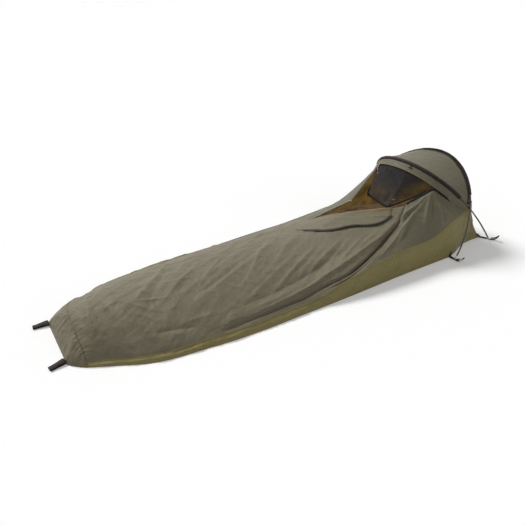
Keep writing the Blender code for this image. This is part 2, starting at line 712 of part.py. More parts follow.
def side_wall(name, side, seam):
    """Wall of the tub, from the ground up to the seam and back along the head corner."""
    edge = head_edge_points(side)
    top = seam + edge[1:-1] + [edge[-2].lerp(edge[-1], HEAD_EDGE_LOW_SHARE)]
    body_rows = sum(1 for p in seam if p.x <= SHOULDER_X)
    lower = []
    for i, p in enumerate(top):
        if i < body_rows:
            x = p.x
        else:
            x = SHOULDER_X + (BODY_LENGTH - SHOULDER_X) * (i - body_rows + 1) / (len(top) - body_rows + 1)
        lower.append(Vector((x, side * floor_half_width(x), FLOOR_TOP)))
    return panel(name, loft(lower, top, WALL_COLUMNS, Vector((0, 0, 0))), WALL_CLOTH, Vector((0, -side, 0)),
                 trims=(SEAM_TRIM, SEAM_TRIM, 0.0, SEAM_TRIM))


def floor_sheet():
    """Flat waterproof floor with the outline of the whole tent."""
    stations = [SHOULDER_X * s for s in TAPER_X_SHARES] + \
        [SHOULDER_X + (BODY_LENGTH - SHOULDER_X) * s for s in HEAD_X_SHARES[1:]]
    grid = []
    for x in stations:
        w = floor_half_width(x)
        grid.append([Vector((x, w * t, FABRIC_THICKNESS)) for t in (-1.0, 0.0, 1.0)])
    return panel("floor_sheet", grid, FLOOR_CLOTH, DOWN, trims=(0.0,) * 4)


def sleeve_edge(hoop, crossing_angle, share, target, inward):
    """Start of a panel beside a sleeve, where both corners of the cloth's edge clear it."""
    center = upper_arc(hoop, crossing_angle, share)
    tangent = (upper_arc(hoop, crossing_angle, share + 0.001) - center).normalized()
    normal = Vector((-hoop[2], 0, hoop[1] - hoop[0])).normalized()
    side = tangent.cross(normal)
    way = (target - center).normalized()
    under = way.cross(tangent).normalized()
    if under.dot(inward) < 0:
        under = -under
    reach = SLEEVE_HALF_DEPTH
    clear = False
    while not clear:
        reach += TOUCH_GAP / 2
        outer = way * reach
        corners = (outer, outer + under * FABRIC_THICKNESS)
        spans = [math.hypot(c.dot(side) / (SLEEVE_HALF_DEPTH + CANOPY_SEAM),
                            c.dot(normal) / (SLEEVE_HALF_WIDTH + CANOPY_SEAM)) for c in corners]
        clear = min(spans) > 1
    return center + outer


def rear_wall():
    """Wall behind the head, from the rear hoop's sleeve down to the head hem."""
    rows = []
    for i in range(REAR_WALL_ROWS + 1):
        share = SLEEVE_GAP_SHARE + (1 - 2 * SLEEVE_GAP_SHARE) * i / REAR_WALL_ROWS
        y = floor_half_width(BODY_LENGTH) * (2 * i / REAR_WALL_ROWS - 1)
        hem = Vector((BODY_LENGTH, y, FLOOR_TOP))
        start = sleeve_edge(REAR_HOOP, REAR_CROSSING_ANGLE, share, hem, Vector((-1, 0, 0)))
        row = []
        for j in range(REAR_WALL_COLUMNS + 1):
            t = j / REAR_WALL_COLUMNS
            bow = Vector((-REAR_WALL_BOW * math.sin(math.pi * t), 0, 0))
            row.append(start.lerp(hem, t) + bow)
        rows.append(row)
    near = head_edge_points(-1)
    for j in range(REAR_WALL_COLUMNS + 1):
        t = j / REAR_WALL_COLUMNS * HEAD_EDGE_ROWS
        k = min(int(t), HEAD_EDGE_ROWS - 1)
        edge = near[k].lerp(near[k + 1], t - k)
        rows[0][j] = edge
        rows[-1][j] = mirror(edge)
    return panel("rear_wall", rows, WALL_CLOTH, Vector((-1, 0, 0)),
                 trims=(SEAM_TRIM + FABRIC_THICKNESS, SEAM_TRIM + FABRIC_THICKNESS, 0.0, 0.0))


def hood_canopy():
    """Panel stretched between the two hoops above their crossings."""
    rows = []
    for i in range(HOOD_ROWS + 1):
        share = CANOPY_GAP_SHARE + (1 - 2 * CANOPY_GAP_SHARE) * i / HOOD_ROWS
        rear = upper_arc(REAR_HOOP, REAR_CROSSING_ANGLE, share)
        front = upper_arc(FRONT_HOOP, FRONT_CROSSING_ANGLE, share)
        a = sleeve_edge(REAR_HOOP, REAR_CROSSING_ANGLE, share, front, DOWN)
        b = sleeve_edge(FRONT_HOOP, FRONT_CROSSING_ANGLE, share, rear, DOWN)
        sag = Vector((0, 0, -CANOPY_SAG * math.sin(math.pi * share)))
        places = [j / HOOD_COLUMNS for j in range(HOOD_COLUMNS + 1)]
        rows.append([a.lerp(b, t) + sag * math.sin(math.pi * t) for t in places])
    return panel("hood_canopy", rows, COVER_CLOTH, DOWN, trims=(0.0,) * 4)


def hood_brow():
    """Overhang in front of the front hoop that shelters the zip."""
    rows = []
    for i in range(HOOD_ROWS + 1):
        share = SLEEVE_GAP_SHARE + (1 - 2 * SLEEVE_GAP_SHARE) * i / HOOD_ROWS
        lip = lip_point(share)
        start = sleeve_edge(FRONT_HOOP, FRONT_CROSSING_ANGLE, share, lip, Vector((1, 0, -1)))
        rows.append([start.lerp(lip, j / BROW_COLUMNS) for j in range(BROW_COLUMNS + 1)])
    return panel("hood_brow", rows, COVER_CLOTH, Vector((1, 0, -1)), trims=(0.0,) * 4)


def on_path(path, height):
    """Point at a height above the ground on the first leg of a hoop."""
    for a, b in zip(path, path[1:]):
        if b.z >= height:
            return a.lerp(b, (height - a.z) / (b.z - a.z))
    return path[-1]


def between_heights(path, height):
    """The part of a hoop above a height, on both legs."""
    start = on_path(path, height)
    inner = [p for p in path if p.z > height + TOUCH_GAP]
    return [start] + inner + [mirror(start)]


def spindle(name, profile, sides, mat, place, origin=None):
    """Solid turned piece from (radius, height) pairs, set by the place matrix."""
    points = []
    faces = []
    for r, z in profile:
        for k in range(sides):
            a = 2 * math.pi * k / sides
            points.append(place @ Vector((r * math.cos(a), r * math.sin(a), z)))
    for i in range(len(profile) - 1):
        for k in range(sides):
            n = (k + 1) % sides
            faces.append((i * sides + k, i * sides + n, (i + 1) * sides + n, (i + 1) * sides + k))
    faces.append(tuple(reversed(range(sides))))
    faces.append(tuple((len(profile) - 1) * sides + k for k in range(sides)))
    return add_object(name, points, faces, mat, origin)


def placed(center, direction):
    """Matrix that sets a turned piece's axis along a direction."""
    return Matrix.Translation(center) @ direction.to_track_quat("Z", "Y").to_matrix().to_4x4()


def pole_tube(label, path, normal, directions):
    """Tube sections of one hoop, end to end."""
    bore = POLE_DIAMETER / 2 - POLE_WALL
    for k in range(SECTION_COUNT):
        first = k * STEPS_PER_SECTION
        last = first + STEPS_PER_SECTION
        part = [Vector(p) for p in path[first:last + 1]]
        part[0] = part[0] + directions[first] * (SECTION_JOINT_GAP / 2)
        part[-1] = part[-1] - directions[last] * (SECTION_JOINT_GAP / 2)
        if k == 0:
            part[0] = on_path(path, TIP_HEIGHT)
        if k == SECTION_COUNT - 1:
            part[-1] = mirror(on_path(path, TIP_HEIGHT))
        sweep(f"{label}_pole_section_{k + 1}", part, normal, circle(POLE_DIAMETER / 2, POLE_SIDES),
              POLE_ALLOY, hole=circle(bore, POLE_SIDES), directions=directions[first:last + 1])


def pole_inserts(label, path, normal):
    """Short inner tubes that join the sections, each glued into one of them."""
    radius = POLE_DIAMETER / 2 - POLE_WALL - FIT_CLEARANCE
    for k in range(1, SECTION_COUNT):
        i = k * STEPS_PER_SECTION
        joint = path[i]
        before = joint + (path[i - 1] - joint).normalized() * (INSERT_LENGTH / 2)
        after = joint + (path[i + 1] - joint).normalized() * (INSERT_LENGTH / 2)
        sweep(f"{label}_pole_insert_{k}", [before, joint, after], normal, circle(radius, POLE_SIDES),
              INSERT_ALLOY, hole=circle(radius - INSERT_WALL, POLE_SIDES))


def pole_tips(label, path):
    """End plugs with a pin that stands in the grommet of the corner strap."""
    way = (path[1] - path[0]).normalized()
    lean = math.sqrt(1 - way.z ** 2)
    pin = TIP_PIN_DIAMETER / 2
    tube_end = TIP_HEIGHT / way.z
    profile = [(pin * 0.6, (TOUCH_GAP + pin * lean) / way.z),
               (pin, (TOUCH_GAP + 2 * pin * lean) / way.z),
               (pin, TIP_SHOULDER_HEIGHT / way.z),
               (POLE_DIAMETER / 2, TIP_SHOULDER_HEIGHT / way.z + pin),
               (POLE_DIAMETER / 2, tube_end - TOUCH_GAP),
               (POLE_DIAMETER / 2 - POLE_WALL - FIT_CLEARANCE, tube_end - TOUCH_GAP),
               (POLE_DIAMETER / 2 - POLE_WALL - FIT_CLEARANCE, tube_end + TIP_PLUG_LENGTH)]
    spindle(f"near_{label}_pole_tip", profile, POLE_SIDES, METAL, placed(path[0], way))
    spindle(f"far_{label}_pole_tip", profile, POLE_SIDES, METAL, placed(mirror(path[0]), mirror(way)))


def shock_cord(label, path, normal):
    """Elastic cord through all the sections, knotted into both tips."""
    way = (path[1] - path[0]).normalized()
    start = path[0] + way * (TIP_HEIGHT / way.z + TIP_PLUG_LENGTH + TOUCH_GAP)
    cord = [start] + [p for p in path if p.z > start.z + TOUCH_GAP] + [mirror(start)]
    sweep(f"{label}_shock_cord", cord, normal, circle(SHOCK_CORD_DIAMETER / 2, SHOCK_CORD_SIDES), ELASTIC)


def pole_sleeve(label, path, normal):
    """Cloth tunnel that the hoop is pushed through, sewn to the canopy."""
    outline = [(SLEEVE_HALF_DEPTH * a, SLEEVE_HALF_WIDTH * b) for a, b in circle(1, POLE_SIDES)]
    sweep(f"{label}_pole_sleeve", between_heights(path, SLEEVE_END_HEIGHT), normal, outline,
          SLEEVE_CLOTH, hole=circle(POLE_DIAMETER / 2 + FIT_CLEARANCE, POLE_SIDES))


def build_hoop(label, hoop):
    path = hoop_path(hoop)
    normal = (path[len(path) // 2] - path[0]).cross(HOOP_NORMAL_AXIS).normalized()
    directions = tangents(path)
    pole_tube(label, path, normal, directions)
    pole_inserts(label, path, normal)
    pole_tips(label, path)
    shock_cord(label, path, normal)
    pole_sleeve(label, path, normal)


def strip(name, path, toward, outline, mat, origin=None):
    """Solid along a path whose outline is set out along the toward vectors and across them."""
    points = []
    faces = []
    around = len(outline)
    for p, way, d in zip(path, toward, tangents(path)):
        up = d.cross(way).normalized()
        out = up.cross(d).normalized()
        points += [p + out * a + up * b for a, b in outline]
    for i in range(len(path) - 1):
        for k in range(around):
            n = (k + 1) % around
            quad = (i * around + k, i * around + n, (i + 1) * around + n, (i + 1) * around + k)
            first = 0 if outline[n][0] >= outline[k][0] else 1
            for m in (1, 2):
                faces.append((quad[first], quad[(first + m) % 4], quad[(first + m + 1) % 4]))
    faces.append(tuple(reversed(range(around))))
    faces.append(tuple((len(path) - 1) * around + k for k in range(around)))
    return add_object(name, points, faces, mat, origin)


def zip_outline():
    """Half a zip: the tape with the chain along its free edge."""
    edge = ZIP_TAPE_WIDTH - ZIP_CHAIN_WIDTH
    half = ZIP_TAPE_THICKNESS / 2
    chain = ZIP_CHAIN_THICKNESS / 2
    return [(0, -half), (edge, -half), (edge, -chain), (ZIP_TAPE_WIDTH, -chain),
            (ZIP_TAPE_WIDTH, chain), (edge, chain), (edge, half), (0, half)]


def slider_outline():
    """Channel that runs on the chain with clearance all round."""
    start = ZIP_TAPE_WIDTH - SLIDER_COVER_SHARE * ZIP_CHAIN_WIDTH
    inner = ZIP_TAPE_WIDTH + FIT_CLEARANCE
    low = ZIP_CHAIN_THICKNESS / 2 + FIT_CLEARANCE
    high = low + SLIDER_WALL
    return [(start, -high), (inner + SLIDER_WALL, -high), (inner + SLIDER_WALL, high), (start, high),
            (start, low), (inner, low), (inner, -low), (start, -low)]


def pull_tab(name, pivot, along, across):
    """Flat pull, hinged at its wide end."""
    up = across.cross(along).normalized()
    half = PULL_WIDTH / 2
    end = PULL_THICKNESS / 2
    taper = PULL_TAPER_SHARE * PULL_LENGTH
    tip = PULL_END_SHARE * half
    outline = [(-end, -half), (taper, -half), (PULL_LENGTH, -tip), (PULL_LENGTH, tip), (taper, half),
               (-end, half)]
    low = [pivot + along * a + across * b - up * end for a, b in outline]
    high = [pivot + along * a + across * b + up * end for a, b in outline]
    count = len(outline)
    faces = [tuple(reversed(range(count))), tuple(count + k for k in range(count))]
    faces += [(k, (k + 1) % count, count + (k + 1) % count, count + k) for k in range(count)]
    return add_object(name, low + high, faces, METAL, pivot)


def far_zip():
    """Far half of the door zip, with its slider parked at the bend and its pull."""
    run = (ZIP_BEND - DOOR_FAR).normalized()
    start = DOOR_FAR + run * ZIP_END_INSET
    top = lip_edge(1, 4)[0]
    toward = Vector(FAR_ZIP_TOWARD).normalized()
    path = [start, ZIP_BEND - run * ZIP_BEND_EASE, ZIP_BEND, ZIP_BEND.lerp(top, 0.5),
            top.lerp(ZIP_BEND, ZIP_START_SHARE)]
    strip("far_zip_tape", path, [toward] * len(path), zip_outline(), ZIP_BLACK)
    seat = ZIP_BEND - run * (SLIDER_LENGTH * SLIDER_SEAT_SHARE)
    ends = [seat - run * (SLIDER_LENGTH / 2), seat + run * (SLIDER_LENGTH / 2)]
    strip("far_zip_slider", ends, [toward] * 2, slider_outline(), METAL, origin=seat)
    up = run.cross(toward).normalized()
    out = up.cross(run).normalized()
    if up.z < 0:
        up = -up
    height = ZIP_CHAIN_THICKNESS / 2 + FIT_CLEARANCE + SLIDER_WALL + PULL_PIVOT_HEIGHT
    pivot = seat + out * (ZIP_TAPE_WIDTH - ZIP_CHAIN_WIDTH / 2) + up * height
    pull_tab("far_zip_pull", pivot, -run, out)


def near_zip_tape():
    """Near half of the door zip, along the wing's edge and under the brow."""
    first = CREASE[-1].lerp(LIP_NEAR[0], ZIP_START_SHARE)
    upper = [first.lerp(LIP_NEAR[0], i / 3) for i in range(3)]
    path = upper + LIP_NEAR[:4]
    rising, turning, level = [Vector(v).normalized() for v in NEAR_ZIP_TOWARDS]
    toward = [rising] * len(upper) + [turning] + [level] * 3
    strip("near_zip_tape", path, toward, zip_outline(), ZIP_BLACK)


def height_over(obj, x, y):
    """Height of the top of a panel over a point of the ground."""
    hit, place, _, _ = obj.ray_cast(Vector((x, y, 2 * BODY_HEIGHT)), DOWN)
    return place.z if hit else 0.0


def flap_points(cover):
    """Grid of the folded-back door, from the fold to its zip edge, lying on the cover."""
    along = DOOR_FAR - DOOR_NEAR
    flat = Vector((along.x, along.y, 0)).normalized()
    back = Vector((-abs(flat.y), -flat.x * flat.y / -abs(flat.y), 0))
    grid = []
    for i in range(FLAP_ROWS + 1):
        t = FLAP_END_SHARE * i / FLAP_ROWS
        fold = DOOR_NEAR.lerp(DOOR_FAR, t)
        reach = BODY_HALF_WIDTH * smooth_table(t, FLAP_PLACE_SHARES, FLAP_REACH_SHARES)
        slant = BODY_HALF_WIDTH * smooth_table(t, FLAP_PLACE_SHARES, FLAP_SLANT_SHARES)
        row = [fold + UP * (DOOR_THICKNESS + DOOR_LIFT)]
        for j in range(1, FLAP_COLUMNS + 1):
            s = j / FLAP_COLUMNS
            p = fold + back * (reach * s) + flat * (slant * s)
            row.append(Vector((p.x, p.y, height_over(cover, p.x, p.y) + DOOR_THICKNESS + DOOR_LIFT)))
        grid.append(row)
    return grid


def door_flap(cover):
    """Door folded back over the cover, with half a zip on its free edge."""
    grid = flap_points(cover)
    hinge = grid[0][0].lerp(grid[-1][0], 0.5) + DOWN * (DOOR_THICKNESS / 2)
    panel("door_flap", grid, COVER_CLOTH, DOWN, DOOR_THICKNESS, trims=(0, 0, 0, 0), origin=hinge)
    path = []
    away = []
    for row in grid[1:]:
        way = row[-1] - row[-2]
        way = Vector((way.x, way.y, 0)).normalized()
        p = row[-1] + DOWN * (DOOR_THICKNESS / 2) + way * (2 * TOUCH_GAP)
        outer = p + way * ZIP_TAPE_WIDTH
        rise = height_over(cover, outer.x, outer.y) + ZIP_CHAIN_THICKNESS / 2 + DOOR_LIFT - outer.z
        away.append((way * ZIP_TAPE_WIDTH + UP * rise).normalized())
        path.append(p)
    strip("door_zip_tape", path, away, zip_outline(), ZIP_BLACK, origin=hinge)


def net_corner(shares):
    return Vector((SHOULDER_X * shares[0], BODY_HALF_WIDTH * shares[1], BODY_HEIGHT * shares[2]))


def net_door():
    """Mosquito net under the brow, half unzipped, with a zip along its lower edge."""
    near_corner = net_corner(NET_NEAR_CORNER_SHARES)
    far_corner = net_corner(NET_FAR_CORNER_SHARES)
    inside = Vector((BROW_DROP, 0, -BROW_REACH)).normalized()
    top = []
    for share in np.linspace(*NET_TOP_SHARES, NET_COLUMNS + 1):
        hoop = upper_arc(FRONT_HOOP, FRONT_CROSSING_ANGLE, share)
        lip = lip_point(share)
        top.append(lip.lerp(hoop, NET_TOP_SEAT_SHARE) + inside * NET_SEAT)
    near_end = LIP_NEAR[0] + Vector(NET_SIDE_START_SHARES) * ZIP_TAPE_WIDTH
    low = [near_end.lerp(near_corner, i / 5) for i in range(5)]
    low += [near_corner.lerp(far_corner, i / 5) for i in range(5)]
    far_end = top[-1] + DOWN * ZIP_TAPE_WIDTH
    low += [far_corner.lerp(far_end, i / 2) for i in range(3)]
    grid = loft(low, top, WING_COLUMNS, inside * NET_SAG, full_length=BODY_HEIGHT / 2)
    panel("net_door", grid, NET_BLACK, inside, NET_THICKNESS, trims=(0, 0, SEAM_TRIM, 0))
    run = (far_corner - near_corner).normalized()
    path = [near_corner, near_corner.lerp(far_corner, 0.5), far_corner]
    toward = [Vector((0, 0, -1))] * 3
    strip("net_zip_tape", path, toward, zip_outline(), ZIP_BLACK)
    seat = near_corner + run * (SLIDER_LENGTH * SLIDER_SEAT_SHARE)
    ends = [seat - run * (SLIDER_LENGTH / 2), seat + run * (SLIDER_LENGTH / 2)]
    strip("net_zip_slider", ends, toward[:2], slider_outline(), METAL, origin=seat)
    out = toward[0] - run * toward[0].dot(run)
    out.normalize()
    depth = ZIP_TAPE_WIDTH + FIT_CLEARANCE + SLIDER_WALL + PULL_PIVOT_HEIGHT
    pull_tab("net_zip_pull", seat + out * depth, out, run)


def grommet(name, place):
    """Metal eyelet clenched round the hole of a strap."""
    gap = TOUCH_GAP
    low = 0.0
    flange = GROMMET_METAL
    top = 2 * flange + WEBBING_THICKNESS + 2 * gap
    barrel = GROMMET_HOLE_RADIUS + GROMMET_METAL
    profile = [(GROMMET_HOLE_RADIUS, low), (GROMMET_OUTER_RADIUS, low), (GROMMET_OUTER_RADIUS, flange),
               (barrel, flange), (barrel, top - flange), (GROMMET_OUTER_RADIUS, top - flange),
               (GROMMET_OUTER_RADIUS, top), (GROMMET_HOLE_RADIUS, top)]
    return turned(name, profile, GROMMET_SIDES, METAL, place)


def teardrop(length, root_radius, tip_radius):
    """Closed loop outline as (along, up) pairs, flat along the bottom, from the root's middle."""
    points = []
    for k in range(TEARDROP_STEPS + 1):
        a = math.pi / 2 + math.pi * k / TEARDROP_STEPS
        points.append((root_radius * math.cos(a), root_radius * math.sin(a)))
    points.append((length / 2, -root_radius))
    for k in range(TEARDROP_STEPS + 1):
        a = -math.pi / 2 + math.pi * k / TEARDROP_STEPS
        points.append((length + tip_radius * math.cos(a), tip_radius - root_radius + tip_radius * math.sin(a)))
    points.append((length / 2, tip_radius))
    return points


def webbing_loop(name, pivot, out, length, root_radius, tip_radius, width, curl):
    """Sewn webbing loop that turns about its root; the tip can curl up off the ground."""
    side = out.cross(UP).normalized()
    path = []
    for a, b in teardrop(length, root_radius, tip_radius):
        lift = curl * max(a / length, 0.0) ** 2
        path.append(pivot + out * a + UP * (b + lift))
    return closed_band(name, path, side, width, WEBBING_THICKNESS, WEBBING, origin=pivot)


def root_seat(root_radius, edge_height):
    """Distance and height of a loop's root from the edge of the piece that it is sewn to."""
    outer = root_radius + WEBBING_THICKNESS / 2
    height = TOUCH_GAP + outer
    return TOUCH_GAP + math.sqrt(outer ** 2 - (height - edge_height) ** 2), height


def corner(label, side, corner_line, pole_foot, pin_way):
    """Strap sewn to a corner of the tub, its grommet and its peg loop."""
    base, upper = [side_of(p, side) for p in corner_line]
    foot = side_of(pole_foot, side)
    flat = Vector((foot.x - base.x, foot.y - base.y, 0))
    out = flat.normalized()
    across = out.cross(UP).normalized()
    middle = GROMMET_METAL + 2 * TOUCH_GAP + WEBBING_THICKNESS / 2
    line = (upper - base).normalized()
    tab_top = base + line * STRAP_TAB_HEIGHT + out * STRAP_STANDOFF
    tab_low = Vector((base.x, base.y, 0)) + out * STRAP_STANDOFF + UP * (3 * middle)
    run = Vector((base.x, base.y, middle)) + out * (STRAP_STANDOFF + 2 * WEBBING_THICKNESS)
    hole = foot + Vector((pin_way.x, 0, 0)) * (middle / pin_way.z)
    end = Vector((foot.x, foot.y, middle)) + out * STRAP_END_MARGIN
    half = WEBBING_THICKNESS / 2
    outline = [(-half, -STRAP_WIDTH / 2), (half, -STRAP_WIDTH / 2), (half, STRAP_WIDTH / 2),
               (-half, STRAP_WIDTH / 2)]
    path = [tab_top, tab_low, run, end]
    level = [(d - across * d.dot(across)).normalized() for d in tangents(path)]
    strap = sweep(f"{label}_strap", path, across, outline, WEBBING, directions=level)
    ring_place = Matrix.Translation((hole.x, hole.y, TOUCH_GAP))
    bottom = middle - WEBBING_THICKNESS
    radius = GROMMET_HOLE_RADIUS + GROMMET_METAL + TOUCH_GAP
    cutter = spindle(f"{label}_strap_hole", [(radius, bottom), (radius, bottom + 2 * WEBBING_THICKNESS)],
                     GROMMET_SIDES, METAL, Matrix.Translation((hole.x, hole.y, 0)))
    cut(strap, cutter)
    grommet(f"{label}_grommet", ring_place)
    away, height = root_seat(PEG_LOOP_ROOT_RADIUS, middle + WEBBING_THICKNESS / 2)
    pivot = Vector((foot.x, foot.y, height)) + out * (STRAP_END_MARGIN + away)
    webbing_loop(f"{label}_peg_loop", pivot, out, PEG_LOOP_LENGTH, PEG_LOOP_ROOT_RADIUS,
                 PEG_LOOP_TIP_RADIUS, PEG_LOOP_WIDTH, PEG_LOOP_CURL)


def foot_loop(label, side, splay, inset):
    """Pull-out loop at a corner of the foot hem."""
    angle = math.radians(splay)
    out = Vector((-math.cos(angle), side * math.sin(angle), 0))
    away, height = root_seat(FOOT_LOOP_ROOT_RADIUS, FLOOR_TOP)
    shift = away + math.sin(angle) * FOOT_LOOP_WIDTH / 2
    pivot = Vector((-shift, side * (floor_half_width(0.0) - inset), height))
    webbing_loop(label, pivot, out, FOOT_LOOP_LENGTH, FOOT_LOOP_ROOT_RADIUS, FOOT_LOOP_TIP_RADIUS,
                 FOOT_LOOP_WIDTH, 0.0)


def crossing_hook(label, side):
    """Hook that clips the hood's corner to the rear pole above the crossing."""
    path = hoop_path(REAR_HOOP)
    center = on_path(path, CROSSING_Z + HOOK_RISE)
    above = on_path(path, CROSSING_Z + HOOK_RISE + HOOK_WIDTH)
    way = (above - center).normalized()
    inner = POLE_DIAMETER / 2 + FIT_CLEARANCE
    outer = inner + HOOK_WALL
    mouth = math.radians(HOOK_MOUTH_DEG / 2)
    half = HOOK_STEPS // 2
    turn = [mouth + (2 * math.pi - 2 * mouth) * k / HOOK_STEPS for k in range(HOOK_STEPS + 1)]
    outline = [(outer * math.cos(a), outer * math.sin(a)) for a in turn[:half]]
    tail = HOOK_TAIL_WIDTH / 2
    outline += [(-outer, tail), (-outer - HOOK_TAIL, tail), (-outer - HOOK_TAIL, -tail), (-outer, -tail)]
    outline += [(outer * math.cos(a), outer * math.sin(a)) for a in turn[half + 1:]]
    outline += [(inner * math.cos(a), inner * math.sin(a)) for a in reversed(turn)]
    normal = way.cross(Vector((-1, 0, 0))).normalized()
    ends = [side_of(center, side), side_of(center + way * HOOK_WIDTH, side)]
    flip = normal if side < 0 else Vector((-normal.x, normal.y, -normal.z))
    sweep(f"{label}_crossing_hook", ends, flip, outline, PLASTIC)


def door_toggle():
    """Toggle on a small loop under the front sleeve, which holds the rolled door."""
    share = 0.5
    for _ in range(30):
        hoop = upper_arc(FRONT_HOOP, FRONT_CROSSING_ANGLE, share)
        share += (hoop.y + TOGGLE_OFFSET_Y) / -(2 * FRONT_HOOP_HALF_SPAN)
    lip = lip_point(share)
    down = (lip - hoop).normalized()
    face = Vector((0, 1, 0)).cross(down).normalized()
    if face.z < 0:
        face = -face
    lift = face * (TOGGLE_RADIUS + 3 * TOUCH_GAP)
    pivot = hoop + down * (SLEEVE_HALF_WIDTH + 2 * CANOPY_SEAM) + lift
    center = pivot + down * TOGGLE_DROP
    half = TOGGLE_LENGTH / 2
    waist = TOGGLE_LOOP_WIDTH / 2 + FIT_CLEARANCE
    nose = TOGGLE_RADIUS * TOGGLE_END_SHARE
    shoulder = half * TOGGLE_CHAMFER_SHARE
    profile = [(nose, -half), (TOGGLE_RADIUS, -shoulder), (TOGGLE_RADIUS, -waist),
               (TOGGLE_WAIST_RADIUS, -waist), (TOGGLE_WAIST_RADIUS, waist), (TOGGLE_RADIUS, waist),
               (TOGGLE_RADIUS, shoulder), (nose, half)]
    spindle("door_toggle", profile, TOGGLE_SIDES, PLASTIC, placed(center, Vector((0, 1, 0))), origin=pivot)
    radius = TOGGLE_WAIST_RADIUS + FIT_CLEARANCE + TOGGLE_LOOP_THICKNESS / 2
    ring = []
    for k in range(TOGGLE_LOOP_STEPS + 1):
        a = math.radians(TOGGLE_LOOP_TURN_DEG) * (2 * k / TOGGLE_LOOP_STEPS - 1)
        ring.append(center + down * (radius * math.cos(a)) + face * (radius * math.sin(a)))
    small = TOGGLE_LOOP_THICKNESS
    ring += [pivot + face * small, pivot - face * small]
    closed_band("toggle_loop", ring, Vector((0, 1, 0)), TOGGLE_LOOP_WIDTH, TOGGLE_LOOP_THICKNESS,
                WEBBING, origin=pivot)


def centre_on_ground():
    """Put the origin on the ground under the middle of the whole tent."""
    bpy.context.view_layer.update()
    xs = []
    for obj in bpy.data.objects:
        if not obj.hide_render:
            xs += [(obj.matrix_world @ Vector(c)).x for c in obj.bound_box]
    middle = (min(xs) + max(xs)) / 2
    for obj in bpy.data.objects:
        obj.location.x -= middle


floor_sheet()
side_wall("near_side_wall", -1, NEAR_SEAM_LOW[:-1] + NEAR_SEAM_HIGH)
side_wall("far_side_wall", 1, FAR_SEAM_LOW[:-1] + FAR_SEAM_HIGH)
rear_wall()
foot_panel()
COVER = top_cover()
near_wing_panel()
far_wing_panel()
hood_canopy()
hood_brow()
build_hoop("rear", REAR_HOOP)
build_hoop("front", FRONT_HOOP)
far_zip()
near_zip_tape()
door_flap(COVER)
net_door()

SHOULDER_CORNER = Vector((SHOULDER_X, -floor_half_width(SHOULDER_X), 0))
HEAD_CORNER = head_edge_points(-1)
SHOULDER_WAY = (hoop_path(REAR_HOOP)[1] - REAR_FOOT).normalized()
HEAD_WAY = (hoop_path(FRONT_HOOP)[1] - FRONT_FOOT).normalized()
for word, sign in (("near", -1), ("far", 1)):
    corner(f"{word}_shoulder", sign, (SHOULDER_CORNER, seam_point(SHOULDER_X, -1)), REAR_FOOT, SHOULDER_WAY)
    corner(f"{word}_head", sign, (HEAD_CORNER[-1], HEAD_CORNER[-2]), FRONT_FOOT, HEAD_WAY)
    crossing_hook(word, sign)
foot_loop("near_foot_loop", -1, NEAR_FOOT_LOOP_SPLAY_DEG, NEAR_FOOT_LOOP_INSET)
foot_loop("far_foot_loop", 1, FAR_FOOT_LOOP_SPLAY_DEG, FAR_FOOT_LOOP_INSET)
door_toggle()
centre_on_ground()
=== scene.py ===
import math

import bpy
import numpy as np
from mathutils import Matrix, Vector, noise


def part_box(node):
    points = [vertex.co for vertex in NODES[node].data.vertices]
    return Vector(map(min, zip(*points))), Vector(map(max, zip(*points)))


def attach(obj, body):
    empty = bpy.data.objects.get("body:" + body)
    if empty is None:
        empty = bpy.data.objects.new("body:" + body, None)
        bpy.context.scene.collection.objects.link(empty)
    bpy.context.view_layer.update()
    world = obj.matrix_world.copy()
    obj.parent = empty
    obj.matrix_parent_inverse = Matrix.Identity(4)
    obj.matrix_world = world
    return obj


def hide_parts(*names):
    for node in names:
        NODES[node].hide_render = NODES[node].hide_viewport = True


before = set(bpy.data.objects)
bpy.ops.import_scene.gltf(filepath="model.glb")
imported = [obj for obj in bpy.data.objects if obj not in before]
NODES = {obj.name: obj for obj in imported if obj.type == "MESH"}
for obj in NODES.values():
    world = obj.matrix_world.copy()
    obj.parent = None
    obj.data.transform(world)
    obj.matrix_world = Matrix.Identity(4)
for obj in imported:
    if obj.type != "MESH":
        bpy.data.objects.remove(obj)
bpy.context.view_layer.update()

# Studio: a white floor that keeps the tent's soft shadow, one broad even lamp from the upper
# back left, a weak one from the front and a white surrounding.
WORLD_FILL, FLOOR_TONE, FLOOR_LIFT = 0.34, 0.86, 0.17
FLOOR_REACH, FLOOR_DEPTH = 30.0, 0.0004
LAMPS = (("key_lamp", (-0.22, 0.98, 1.0), 2.74, 0.34), ("fill_lamp", (0.3, -1.0, 0.9), 0.36, 1.2))
FOOT_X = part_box("floor_sheet")[0].x


def feed(tree, node, inputs):
    """Give a node's inputs their values, colours or links."""
    for word, value in dict(inputs).items():
        socket = node.inputs[word]
        if isinstance(value, bpy.types.NodeSocket):
            tree.links.new(value, socket)
        else:
            socket.default_value = (*value, 1.0) if socket.type == "RGBA" else value
    return node


def add_node(tree, kind, inputs=(), **settings):
    node = tree.nodes.new("ShaderNode" + kind)
    for word, value in settings.items():
        setattr(node, word, value)
    return feed(tree, node, inputs)


def calc(tree, operation, *values):
    return add_node(tree, "Math", enumerate(values), operation=operation).outputs[0]


def seen_directly(tree):
    """Value that is 1 for camera, glossy and transmission rays and 0 for the light they gather."""
    rays = add_node(tree, "LightPath").outputs
    direct = calc(tree, "MAXIMUM", rays["Is Camera Ray"], rays["Is Glossy Ray"])
    return calc(tree, "MAXIMUM", direct, rays["Is Transmission Ray"])


def with_nodes(block):
    block.use_nodes = True
    return block, block.node_tree


